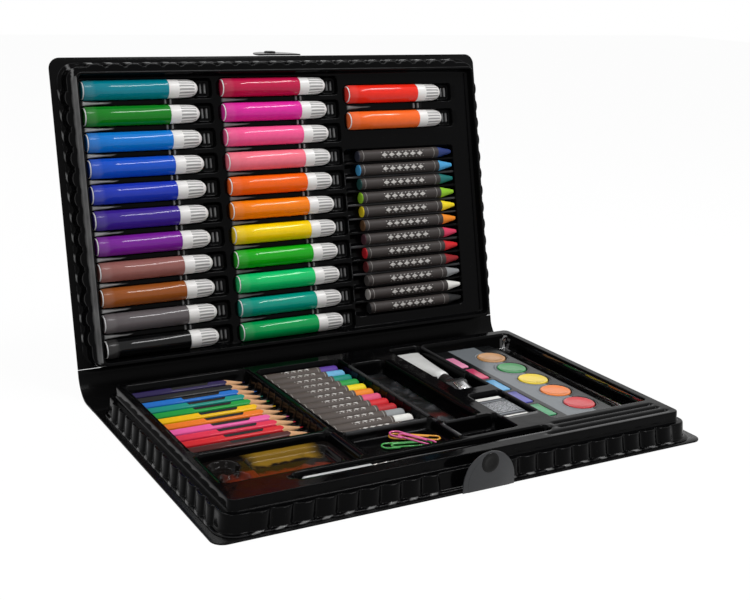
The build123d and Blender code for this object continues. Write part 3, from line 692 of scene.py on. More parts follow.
@dataclass(frozen=True)
class SpeckledPaper:
    """A dark paper sleeve with a field of pale specks between two bands."""

    name: str
    middle: float
    field_half: float = 9.5
    band: tuple[float, float] = (11.6, 0.8)

    def build(self) -> bpy.types.Material:
        """Return the material."""
        net = Net(self.name)
        _, y, _ = net.place("local")
        speck = net.noise(1.1, 5.0, "local") > 0.49
        inside = abs(y - self.middle) < self.field_half
        band = abs(abs(y - self.middle) - self.band[0]) < self.band[1]
        colour = net.mix(speck * inside * 0.75, tint("#23262a"), tint("#b9bcc0"))
        colour = net.mix(band * 0.7, colour, tint("#8f949a"))
        return net.finish(
            Base_Color=colour, Roughness=speck * 0.1 + 0.4,
            Normal=net.bump(speck, 0.1, 0.0001), Specular_IOR_Level=0.35,
        )


def rounded_rect(x0: float, x1: float, y0: float, y1: float, radius: float,
                 steps: int = 4, back_radius: Optional[float] = None) -> Points:
    """Return the points of a rounded rectangle, going round to the left.

    Args:
        x0: its left side.
        x1: its right side.
        y0: its front.
        y1: its back.
        radius: of its corners, or of the front ones where back_radius is given.
        steps: straight parts to a corner.
        back_radius: of its back corners.

    Returns:
        The points.
    """
    points = []
    for turn, (x, y) in enumerate(((x1, y0), (x1, y1), (x0, y1), (x0, y0))):
        r = radius if y == y0 or back_radius is None else back_radius
        middle_x, middle_y = (x - r if x == x1 else x + r), (y - r if y == y1 else y + r)
        for step in range(steps + 1):
            angle = math.radians(90 * (turn - 1) + 90 * step / steps)
            points.append((middle_x + r * math.cos(angle), middle_y + r * math.sin(angle)))
    return np.array(points)


def with_height(outline: Points, z: float) -> Points:
    """Return flat points lifted to a height."""
    return np.column_stack([outline, np.full(len(outline), z)])


def drawn_in(outline: Points, inset: float) -> Points:
    """Return an outline drawn in towards its middle."""
    middle = outline.mean(axis=0)
    reach = np.linalg.norm(outline - middle, axis=1, keepdims=True)
    return outline + (middle - outline) / reach * inset


class Shape:
    """A mesh under construction, in the millimetres of its flat."""

    def __init__(self) -> None:
        """Start with nothing."""
        self.points: list[Points] = []
        self.faces: list[tuple[int, ...]] = []
        self.count = 0

    def add(self, points: Points) -> int:
        """Add points and return the number of the first."""
        first = self.count
        self.points.append(np.array(points, float).reshape(-1, 3))
        self.count += len(self.points[-1])
        return first

    def rings(self, loops: Sequence[Points], first_end: bool = True,
              last_end: bool = True) -> list[int]:
        """Join closed loops of the same count, one after another.

        Args:
            loops: the loops, going round to the left as seen from where they lead.
            first_end: whether the first loop gets a face.
            last_end: whether the last loop gets a face.

        Returns:
            The number of each loop's first point.
        """
        starts = [self.add(loop) for loop in loops]
        count = len(loops[0])
        for low, high in zip(starts, starts[1:]):
            for k in range(count):
                n = (k + 1) % count
                self.faces.append((low + k, low + n, high + n, high + k))
        if first_end:
            self.faces.append(tuple(starts[0] + k for k in reversed(range(count))))
        if last_end:
            self.faces.append(tuple(starts[-1] + k for k in range(count)))
        return starts

    def plate(self, outline: Points, z0: float, z1: float, edge: float = 0.2) -> "Shape":
        """Add a flat plate with softly rounded edges, for a convex outline.

        Args:
            outline: its flat points, going round to the left.
            z0: its underside.
            z1: its top.
            edge: radius of the soft edges.

        Returns:
            This shape.
        """
        levels = ((z0, edge), (z0 + edge * 0.3, edge * 0.3), (z0 + edge, 0.0),
                  (z1 - edge, 0.0), (z1 - edge * 0.3, edge * 0.3), (z1, edge))
        self.rings([with_height(drawn_in(outline, inset), z) for z, inset in levels])
        return self

    def block(self, x0: float, x1: float, y0: float, y1: float, z0: float, z1: float,
              radius: float = 0.6, edge: float = 0.3) -> "Shape":
        """Add a block with rounded upright corners and soft edges."""
        return self.plate(rounded_rect(x0, x1, y0, y1, radius), z0, z1, edge)

    def bar(self, sections: Sequence[tuple[float, Points]]) -> "Shape":
        """Add a bar along Y from outlines in X and Z, each at its place."""
        self.rings([
            np.column_stack([outline[:, 0], np.full(len(outline), y), outline[:, 1]])[::-1]
            for y, outline in sections
        ])
        return self

    def rod(self, profile: Profile, sides: int,
            shape: Optional[Callable[[Points, float], Points]] = None) -> "Shape":
        """Add a turned rod along X from the origin.

        Args:
            profile: places along X and the radius at each.
            sides: points round it.
            shape: the radius factor for each angle, by the place along the rod.

        Returns:
            This shape.
        """
        angle = np.arange(sides) * 2 * math.pi / sides
        loops = []
        for x, radius in profile:
            round_it = radius * (shape(angle, x) if shape else 1.0)
            loops.append(np.column_stack([
                np.full(sides, x), round_it * np.cos(angle), round_it * np.sin(angle),
            ]))
        self.rings(loops)
        return self

    def spool(self, x: float, y: float, profile: Profile, sides: int) -> "Shape":
        """Add a turned piece that stands up at x and y, by its heights and radii."""
        angle = np.arange(sides) * 2 * math.pi / sides
        turn = np.column_stack([np.cos(angle), np.sin(angle)])
        self.rings([with_height(turn * radius + (x, y), z) for z, radius in profile])
        return self

    def moved(self, offset: Sequence[float], along_y: bool = False) -> "Shape":
        """Shift all points so far, after turning a rod from X to Y where asked."""
        for points in self.points:
            if along_y:
                points[:, [0, 1]] = points[:, [1, 0]] * (-1, 1)
            points += np.asarray(offset, float)
        return self

    def mesh(self, name: str, sharp: float = 40.0) -> bpy.types.Mesh:
        """Return the mesh with each point's own place stored on it.

        Args:
            name: the mesh's name.
            sharp: edges that bend by more degrees than this stay sharp.

        Returns:
            The mesh.
        """
        mesh = bpy.data.meshes.new(name)
        points = np.concatenate(self.points)
        mesh.from_pydata(points.tolist(), [], self.faces)
        mesh.shade_smooth()
        mesh.set_sharp_from_angle(angle=math.radians(sharp))
        local = mesh.attributes.new("local", "FLOAT_VECTOR", "POINT")
        local.data.foreach_set("vector", points.ravel())
        return mesh


class GeometryTree(NodeTree):
    """A geometry node tree with named inputs, baked to a plain mesh for each piece."""

    def __init__(self, name: str, inputs: dict[str, str]) -> None:
        """Start a tree.

        Args:
            name: the tree's name.
            inputs: kind of socket by the input's name.
        """
        super().__init__(bpy.data.node_groups.new(name, "GeometryNodeTree"))
        face = self.tree.interface
        face.new_socket("Geometry", in_out="INPUT", socket_type="NodeSocketGeometry")
        for key, kind in {**inputs, "Finish": "Material"}.items():
            face.new_socket(key, in_out="INPUT", socket_type="NodeSocket" + kind)
        face.new_socket("Geometry", in_out="OUTPUT", socket_type="NodeSocketGeometry")
        self.entry = self.node(Node.GROUP_IN).outputs

    def close(self, geometry: bpy.types.NodeSocket) -> None:
        """End the tree with real geometry in its finish."""
        real = self.node(Node.REALIZE, None, {0: geometry})
        values = {"Geometry": real.outputs[0], "Material": self.entry["Finish"]}
        painted = self.node(Node.SET_MATERIAL, None, values)
        self.node(Node.GROUP_OUT, None, {0: painted.outputs[0]})

    def stored(self, name: str, kind: str = "FLOAT") -> bpy.types.NodeSocket:
        """Return a stored value of the surface."""
        return self.node(Node.NAMED, {"data_type": kind}, {"Name": name}).outputs[0]

    def bake(self, mesh: bpy.types.Mesh, **given: object) -> bpy.types.Mesh:
        """Run the tree on a mesh.

        Args:
            mesh: what goes in.
            **given: values of the named inputs.

        Returns:
            The plain mesh that comes out.
        """
        host = bpy.data.objects.new("tree_host", mesh)
        bpy.context.scene.collection.objects.link(host)
        modifier = host.modifiers.new("tree", "NODES")
        modifier.node_group = self.tree
        for item in self.tree.interface.items_tree:
            if item.in_out == "INPUT" and item.name in given:
                modifier[item.identifier] = given[item.name]
        graph = bpy.context.evaluated_depsgraph_get()
        baked = bpy.data.meshes.new_from_object(host.evaluated_get(graph))
        host.modifiers.remove(modifier)
        bpy.data.objects.remove(host)
        return baked


class RowTree(GeometryTree):
    """Repeats a stick along a line and numbers the rows."""

    def __init__(self) -> None:
        """Build the tree."""
        super().__init__("row_of_sticks", {"Count": "Int", "Start": "Vector", "Step": "Vector"})
        line = self.node(Node.LINE, None, {
            "Count": self.entry["Count"], "Start Location": self.entry["Start"],
            "Offset": self.entry["Step"],
        })
        copies = self.node(Node.INSTANCES, None, {
            "Points": line.outputs[0], "Instance": self.entry["Geometry"],
        })
        index = self.node(Node.INDEX).outputs[0]
        numbered = self.node(Node.STORE, {"data_type": "FLOAT", "domain": "INSTANCE"}, {
            "Geometry": copies.outputs[0], "Name": "row", "Value": index,
        })
        self.close(numbered.outputs[0])


class FluteTree(GeometryTree):
    """Swells a plain wall into flutes, by the place within a flute stored on each point."""

    def __init__(self) -> None:
        """Build the tree."""
        super().__init__("wall_flutes", {"Bulge": "Float", "Fullness": "Float"})
        turn = Term(self, self.stored("flute_turn"))
        crest = (turn * math.pi).sine() ** self.entry["Fullness"]
        swell = crest * self.entry["Bulge"] * Term(self, self.stored("flute_share"))
        way = self.stored("flute_out", "FLOAT_VECTOR")
        shift = self.node(Node.VECTOR_MATH, {"operation": "SCALE"}, {0: way, "Scale": swell})
        moved = self.node(Node.SET_POSITION, None, {
            "Geometry": self.entry["Geometry"], "Offset": shift.outputs[0],
        })
        self.close(moved.outputs[0])


class WireTree(GeometryTree):
    """Bends round wire along a path of straight runs."""

    def __init__(self) -> None:
        """Build the tree."""
        super().__init__("bent_wire", {"Radius": "Float", "Bend": "Float", "Steps": "Int"})
        path = self.node(Node.TO_CURVE, None, {0: self.entry["Geometry"]})
        bends = self.node(Node.FILLET, {"mode": "POLY"}, {
            "Curve": path.outputs[0], "Radius": self.entry["Bend"],
            "Count": self.entry["Steps"], "Limit Radius": True,
        })
        wire = self.node(Node.CIRCLE, None, {"Resolution": 10, "Radius": self.entry["Radius"]})
        drawn = self.node(Node.TO_MESH, None, {
            "Curve": bends.outputs[0], "Profile Curve": wire.outputs[0], "Fill Caps": True,
        })
        self.close(drawn.outputs[0])


class Workshop:
    """Turns meshes into pieces of the object and keeps what they share."""

    def __init__(self) -> None:
        """Build the shared trees and finishes."""
        self.made = 0
        self.rows = RowTree()
        self.flutes = FluteTree()
        self.wires = WireTree()
        self.formed = FormedSheet().build()
        self.cover = CoverSheet().build()

    def piece(self, name: str, mesh: bpy.types.Mesh, flat: Flat,
              material: Optional[bpy.types.Material], body: str, slot: str,
              *nodes: str) -> bpy.types.Object:
        """Place a mesh and say what it rides on and stands for.

        Args:
            name: the piece's name.
            mesh: its mesh, in the flat's millimetres.
            flat: the flat it is drawn in.
            material: its finish, unless a tree has set it.
            body: the body it rides on.
            slot: the record's material slot; not used.
            *nodes: the nodes it stands for.

        Returns:
            The piece's object.
        """
        mesh.transform(flat.matrix())
        if material is not None:
            mesh.materials.append(material)
        made = bpy.data.objects.new(name, mesh)
        bpy.context.scene.collection.objects.link(made)
        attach(made, body)
        if nodes:
            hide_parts(*nodes)
        self.made += 1
        log.info("%s: %d faces on %s", name, len(mesh.polygons), body)
        return made

    def stick_rows(self, start: Sequence[float], pitch: float, count: int, flat: Flat,
                   body: str, kinds: Sequence[tuple], sharp: float = 50.0) -> None:
        """Build rows of sticks, each kind of piece repeated from the back to the front.

        Args:
            start: the first stick's place.
            pitch: from one stick to the next.
            count: how many there are.
            flat: the flat they are drawn in.
            body: the body they ride on.
            kinds: name, shape, finish, slot and node of each kind of piece.
            sharp: edges that bend by more degrees than this stay sharp.
        """
        for name, shape, finish, slot, node in kinds:
            mesh = self.rows.bake(shape.mesh(name, sharp), Count=count, Start=tuple(start),
                                  Step=(0.0, -pitch, 0.0), Finish=finish)
            self.piece(name, mesh, flat, None, body, slot, node)


@dataclass(frozen=True)
class Well:
    """A rectangular well with soft walls."""

    x0: float
    x1: float
    y0: float
    y1: float
    floor: float
    radius: float = 3.0
    foot: tuple[float, float] = (1.3, 0.9)

    def depth(self, x: Points, y: Points) -> Points:
        """Return how far inside its edge each point lies."""
        px = np.abs(x - (self.x0 + self.x1) / 2) - (self.x1 - self.x0) / 2 + self.radius
        py = np.abs(y - (self.y0 + self.y1) / 2) - (self.y1 - self.y0) / 2 + self.radius
        outside = np.hypot(np.maximum(px, 0), np.maximum(py, 0))
        return self.radius - outside - np.minimum(np.maximum(px, py), 0)

    def fall(self, x: Points, y: Points) -> Points:
        """Return the share of the wall's height that each point has fallen."""
        return smooth((self.depth(x, y) + self.foot[0]) / sum(self.foot))

    def sink(self, z: Points, x: Points, y: Points, floor: Optional[Points] = None) -> Points:
        """Return the heights with this well let into them."""
        share = self.fall(x, y)
        return z * (1 - share) + (self.floor if floor is None else floor) * share

    def lines(self) -> tuple[list[float], list[float]]:
        """Return the grid lines that its walls need, across and along."""
        out, into = self.foot
        offsets = (-out, -0.55 * out, -0.1 * out, 0.45 * into, into, into + 1.4)
        across = [edge + side * offset for edge, side in ((self.x0, 1), (self.x1, -1))
                  for offset in offsets]
        along = [edge + side * offset for edge, side in ((self.y0, 1), (self.y1, -1))
                 for offset in offsets]
        return across, along


def well_lines(wells: Sequence[Well]) -> tuple[list[float], list[float]]:
    """Return the grid lines of several wells, across and along."""
    across, along = zip(*(well.lines() for well in wells))
    return sum(across, []), sum(along, [])


def spread(lines: Sequence[float], low: float, high: float, widest: float = 5.0,
           closest: float = 0.16) -> Points:
    """Return sorted lines from low to high, none too close and none too far apart."""
    kept = [low]
    for line in sorted(line for line in lines if low < line < high):
        if line - kept[-1] > closest:
            kept.append(line)
    if high - kept[-1] < closest:
        kept.pop()
    kept.append(high)
    full = [kept[0]]
    for a, b in zip(kept, kept[1:]):
        parts = max(1, math.ceil((b - a) / widest))
        full += [a + (b - a) * (k + 1) / parts for k in range(parts)]
    return np.array(full)


@dataclass
class HeightGrid:
    """A rectangular sheet of faces with rounded corners, at given heights."""

    box: Box
    radius: float
    height: Height
    lines_x: Sequence[float] = ()
    lines_y: Sequence[float] = ()
    widest: float = 5.0

    def add_to(self, shape: Shape) -> tuple[list[int], Points]:
        """Add the sheet to a shape.

        Args:
            shape: the mesh it goes into.

        Returns:
            The numbers and the points of its border, going round to the left.
        """
        x0, x1, y0, y1 = self.box
        xs = spread(self.lines_x, x0, x1, self.widest)
        ys = spread(self.lines_y, y0, y1, self.widest)
        x, y = self.round_corners(*np.meshgrid(xs, ys))
        points = np.column_stack([x.ravel(), y.ravel(), self.height(x, y).ravel()])
        first = shape.add(points)
        number = first + np.arange(len(points)).reshape(len(ys), len(xs))
        quads = np.stack([number[:-1, :-1], number[:-1, 1:], number[1:, 1:], number[1:, :-1]], -1)
        shape.faces += [tuple(quad) for quad in quads.reshape(-1, 4).tolist()]
        border = np.concatenate([number[0, :-1], number[:-1, -1],
                                 number[-1, :0:-1], number[:0:-1, 0]])
        return border.tolist(), points[border - first]

    def round_corners(self, u: Points, v: Points) -> tuple[Points, Points]:
        """Return the places with the sheet's square corners bent round."""
        x0, x1, y0, y1 = self.box
        radius = self.radius
        x, y = u.copy(), v.copy()
        for cx, sx in ((x0 + radius, -1), (x1 - radius, 1)):
            for cy, sy in ((y0 + radius, -1), (y1 - radius, 1)):
                a, b = (u - cx) * sx / radius, (v - cy) * sy / radius
                inside = (a > 0) & (b > 0)
                x[inside] = cx + sx * radius * (a * np.sqrt(np.maximum(1 - b * b / 2, 0)))[inside]
                y[inside] = cy + sy * radius * (b * np.sqrt(np.maximum(1 - a * a / 2, 0)))[inside]
        return x, y

    def slab(self, bottom: float, edge: float = 0.4) -> Shape:
        """Return a closed slab with this sheet as its top, wider by its soft edge."""
        shape = Shape()
        border, points = self.add_to(shape)
        below, count = points.copy(), len(border)
        below[:, :2] = drawn_in(points[:, :2], -edge)
        below[:, 2] -= edge
        foot = below.copy()
        foot[:, 2] = bottom
        a, b = shape.add(foot), shape.add(below)
        for k in range(count):
            n = (k + 1) % count
            shape.faces.append((a + k, a + n, b + n, b + k))
            shape.faces.append((b + k, b + n, border[n], border[k]))
        shape.faces.append(tuple(a + k for k in reversed(range(count))))
        return shape


def zip_loops(shape: Shape, outer: tuple[list[int], Points],
              inner: tuple[list[int], Points]) -> None:
    """Close the narrow gap between two loops of different counts with triangles.

    Args:
        shape: the mesh they are in.
        outer: numbers and points of the outer loop.
        inner: numbers and points of the inner loop.
    """
    (a, pa), (b, pb) = outer, inner
    shift = int(np.argmin(np.linalg.norm(pb - pa[0], axis=1)))
    b, pb = b[shift:] + b[:shift], np.roll(pb, -shift, axis=0)
    n, m, i, j = len(a), len(b), 0, 0
    while i < n or j < m:
        ahead_a = np.linalg.norm(pa[(i + 1) % n] - pb[j % m]) if i < n else math.inf
        ahead_b = np.linalg.norm(pa[i % n] - pb[(j + 1) % m]) if j < m else math.inf
        if ahead_a <= ahead_b:
            shape.faces.append((a[i % n], a[(i + 1) % n], b[j % m]))
            i += 1
        else:
            shape.faces.append((a[i % n], b[(j + 1) % m], b[j % m]))
            j += 1


def mark_edges(mesh: bpy.types.Mesh) -> None:
    """Store on each point how much it stands out as a convex edge: the mask of the painted edge
    highlight.
    """
    place, normal = np.empty(len(mesh.vertices) * 3), np.empty(len(mesh.vertices) * 3)
    mesh.vertices.foreach_get("co", place)
    mesh.vertex_normals.foreach_get("vector", normal)
    place, normal = place.reshape(-1, 3), normal.reshape(-1, 3)
    ends = np.empty(len(mesh.edges) * 2, int)
    mesh.edges.foreach_get("vertices", ends)
    ends = ends.reshape(-1, 2)
    way = place[ends[:, 1]] - place[ends[:, 0]]
    length = np.maximum(np.linalg.norm(way, axis=1), 1e-6)
    bend = ((normal[ends[:, 1]] - normal[ends[:, 0]]) * way).sum(1) / length
    total = np.zeros(len(place))
    np.maximum.at(total, ends[:, 0], bend)
    np.maximum.at(total, ends[:, 1], bend)
    edge = mesh.attributes.new("edge", "FLOAT", "POINT")
    edge.data.foreach_set("value", np.clip((total - EDGE_FROM) * EDGE_GAIN, 0, 1))


@dataclass
class FormedTray:
    """A formed tray: a fluted rim wall round a field of soft-edged wells."""

    y0: float
    y1: float
    front_inset: float
    foot: tuple[float, float]
    plain_front: tuple[float, float]
    side: float = 9.0
    inset: float = 4.2
    corner: float = 9.0
    pitch: float = 14.0
    valley: float = 3.4
    bulge: float = 2.1
    fullness: float = 0.55
    flute_start: float = 14.5
    foot_top: float = 2.3
    foot_gleam: float = 0.7
    border: float = 0.9
    levels: tuple[tuple[float, float, float], ...] = (
        (4.1, 1.02, 0.0), (4.4, 1.25, 0.0), (4.4, 1.75, 0.0), (4.1, 2.0, 0.1),
        (2.5, 2.04, 0.8), (1.8, 2.2, 1.0), (1.4, 2.8, 1.0), (1.15, 4.2, 1.0),
        (0.7, 7.5, 1.0), (0.3, 11.0, 1.0), (0.15, 12.2, 1.0), (-0.1, 12.75, 0.97),
        (-0.5, 12.97, 0.9), (-1.1, LEDGE, 0.72), (-2.2, LEDGE, 0.3), (-3.3, LEDGE, 0.0),
        (-3.75, 13.1, 0.0), (-4.05, 13.45, 0.0), (-4.2, 14.3, 0.0), (-4.3, 16.5, 0.0),
        (-4.4, 18.9, 0.0), (-4.5, 19.5, 0.0), (-4.68, 19.85, 0.0), (-4.9, RIM, 0.0),
    )

    def side_places(self, length: float, radius: float, count: int) -> tuple[Points, Points]:
        """Return places along one side and each one's share of its flute."""
        pitch = (length - 2 * self.flute_start) / count
        shares = np.array([0, 0.03, 0.08, 0.16, 0.28, 0.42, 0.58, 0.72, 0.84, 0.92, 0.97, 1])
        along, turn = [np.linspace(radius, self.flute_start, 5)], [np.zeros(5)]
        for flute in range(count):
            start = self.flute_start + pitch * flute + self.valley / 2
            along.append(start + shares * (pitch - self.valley))
            turn.append(shares)
        along.append(np.linspace(length - self.flute_start, length - radius, 5))
        turn.append(np.zeros(5))
        return np.concatenate(along), np.concatenate(turn)

    def loop(self, grow: float, z: float) -> tuple[Points, Points, Points]:
        """Return one plain loop round the tray.

        Args:
            grow: how far outside the ledge's line it runs.
            z: its height.

        Returns:
            The loop's points, the ways out of its sides, and the places in the flutes.
        """
        front = min(grow, self.foot[0])
        if grow < 0:
            front = grow * self.front_inset / self.inset
        back = min(grow, self.foot[1])
        x0, x1 = self.side - grow, SHEET_WIDTH - self.side + grow
        y0, y1 = self.y0 - front, self.y1 + back
        radius = self.corner + grow
        corners = np.array([(x0, y0), (x1, y0), (x1, y1), (x0, y1)])
        ways = np.array([(1, 0), (0, 1), (-1, 0), (0, -1)])
        points, outs, turns = [], [], []
        for k in range(4):
            way, turn = ways[k], ways[(k + 1) % 4]
            start, end = corners[k], corners[(k + 1) % 4]
            wide = SHEET_WIDTH - 2 * self.side if k % 2 == 0 else self.y1 - self.y0
            count = round((wide - 2 * self.flute_start) / self.pitch)
            along, place = self.side_places(abs((end - start) @ way), radius, count)
            if k == 0:
                x = x0 + along
                place = place * ((x < self.plain_front[0]) | (x > self.plain_front[1]))
            points.append(start + np.outer(along, way))
            room = 1.0 if k % 2 else min(1.0, 0.5 + self.foot[k // 2] / 8)
            outs.append(np.tile(-turn * room, (len(along), 1)))
            turns.append(place)
            angle = np.linspace(0, math.pi / 2, 12)[1:-1]
            round_out = np.outer(np.sin(angle), way) - np.outer(np.cos(angle), turn)
            points.append(end - way * radius + turn * radius + round_out * radius)
            outs.append(round_out)
            turns.append(np.zeros(len(angle)))
        flat = np.concatenate(points)
        return with_height(flat, z), with_height(np.concatenate(outs), 0.0), np.concatenate(turns)

    def build(self, name: str, shop: Workshop, height: Height, glint: Height,
              lines_x: Sequence[float], lines_y: Sequence[float]) -> bpy.types.Mesh:
        """Return the whole tray's mesh.

        Args:
            name: the mesh's name.
            shop: where the tree of the flutes is.
            height: the height of the field over each place.
            glint: how much each place of the field and the rim catches the light.
            lines_x: places across that need a line.
            lines_y: places along that need a line.

        Returns:
            The mesh with its flutes, and its edges marked.
        """
        shape = Shape()
        loops = [self.loop(grow, z) for grow, z, _ in self.levels]
        starts = shape.rings([loop[0] for loop in loops], True, False)
        inset = self.inset + self.border
        front = inset * self.front_inset / self.inset
        side = self.side + inset
        box = (side, SHEET_WIDTH - side, self.y0 + front, self.y1 - inset)
        inner = HeightGrid(box, self.corner - inset, height, lines_x, lines_y).add_to(shape)
        count = len(loops[-1][0])
        zip_loops(shape, (list(range(starts[-1], starts[-1] + count)), loops[-1][0]), inner)
        mesh = shape.mesh(name, 180.0)
        shares = np.concatenate([np.full(count, level[2]) for level in self.levels])
        out = np.zeros((shape.count, 3))
        out[:count * len(loops)] = np.concatenate([loop[1] for loop in loops])
        turns = np.concatenate([loop[2] for loop in loops])
        self.store(mesh, "flute_share", shares)
        self.store(mesh, "flute_turn", turns)
        points = np.concatenate(shape.points)
        # Painted highlights: the glint of the field, and dashes at the foot of each flute.
        shine = glint(points[:, 0], points[:, 1])
        feet = np.concatenate([np.full(count, level[1] < self.foot_top) for level in self.levels])
        gleam = smooth((0.25 - np.abs(turns - 0.4)) / 0.1) * self.foot_gleam
        shine[:len(feet)] += feet * gleam
        self.store(mesh, "glint", shine)
        way = mesh.attributes.new("flute_out", "FLOAT_VECTOR", "POINT")
        way.data.foreach_set("vector", out.ravel())
        baked = shop.flutes.bake(
            mesh, Bulge=self.bulge, Fullness=self.fullness, Finish=shop.formed
        )
        baked.shade_smooth()
        mark_edges(baked)
        return baked

    @staticmethod
    def store(mesh: bpy.types.Mesh, name: str, values: Points) -> None:
        """Store a number on each point, and 0 on the points past the end of the values."""
        full = np.zeros(len(mesh.vertices))
        full[:len(values)] = values
        mesh.attributes.new(name, "FLOAT", "POINT").data.foreach_set("value", full)


@dataclass
class Cover:
    """The folded cover: base panel, spine strip and lid panel of one sheet."""

    thickness: float = 1.0
    corner: float = 8.0
    blunt: float = 0.4
    crease_gap: float = 0.8
    bend: float = 19.5
    edge: float = 0.3

    def build(self, shop: Workshop) -> None:
        """Build the three panels."""
        depth, gap = PANEL_DEPTH, self.crease_gap
        for side, flat, outline in (("base", BASE, self.panel(0, depth - gap, True)),
                                    ("lid", LID, self.panel(gap, depth, False))):
            mesh = Shape().plate(outline, 0, self.thickness, self.edge).mesh(f"{side}_panel")
            shop.piece(f"cover_sheet_{side}", mesh, flat, shop.cover, side, "cover_sheet",
                       f"cover_{side}")
        mesh = self.spine().mesh("spine_strip", 50)
        shop.piece("cover_sheet_spine", mesh, BASE, shop.cover, "spine", "cover_sheet",
                   "cover_spine")

    def panel(self, y0: float, y1: float, front_round: bool) -> Points:
        """Return a panel's outline with two round corners on its free edge."""
        radii = (self.corner, self.blunt) if front_round else (self.blunt, self.corner)
        return rounded_rect(0, SHEET_WIDTH, y0, y1, radii[0], 8, radii[1])

    def spine(self) -> Shape:
        """Return the spine strip: flat on the table, then bent up to the lid's crease."""
        half = self.thickness / 2
        turn = math.pi / 2 - LEAN
        start, end = np.array([PANEL_DEPTH, half]), np.array(CREASE)
        rise = np.array([math.cos(turn), math.sin(turn)])
        corner = end - rise * (end[1] - half) / rise[1]
        reach = self.bend * math.tan(turn / 2)
        centre = corner + np.array([-reach, self.bend])
        path, ways = [start], [0.0]
        for angle in np.linspace(0, turn, 15):
            path.append(centre + self.bend * np.array([math.sin(angle), -math.cos(angle)]))
            ways.append(angle)
        path.append(end)
        ways.append(turn)
        sides = [half * np.array([math.sin(way), -math.cos(way)]) for way in ways]
        outline = [point + side for point, side in zip(path, sides)] + [end + rise * half]
        outline += [point - side for point, side in zip(path[::-1], sides[::-1])]
        outline = np.array(outline + [start - (half, 0)])
        shape = Shape()
        loops = [np.column_stack([np.full(len(outline), x), outline])
                 for x in (0.0, SHEET_WIDTH)]
        starts = shape.rings(loops, False, False)
        count, total = len(path), len(outline)
        for first, flip in ((starts[0], -1), (starts[1], 1)):
            last = first + total - 1
            for k in range(count - 1):
                low, high = first + k, last - 1 - k
                shape.faces.append((low, low + 1, high - 1, high)[::flip])
            shape.faces.append((first + count - 1, first + count, first + count + 1)[::flip])
            shape.faces.append((last - 1, last, first)[::flip])
        return shape


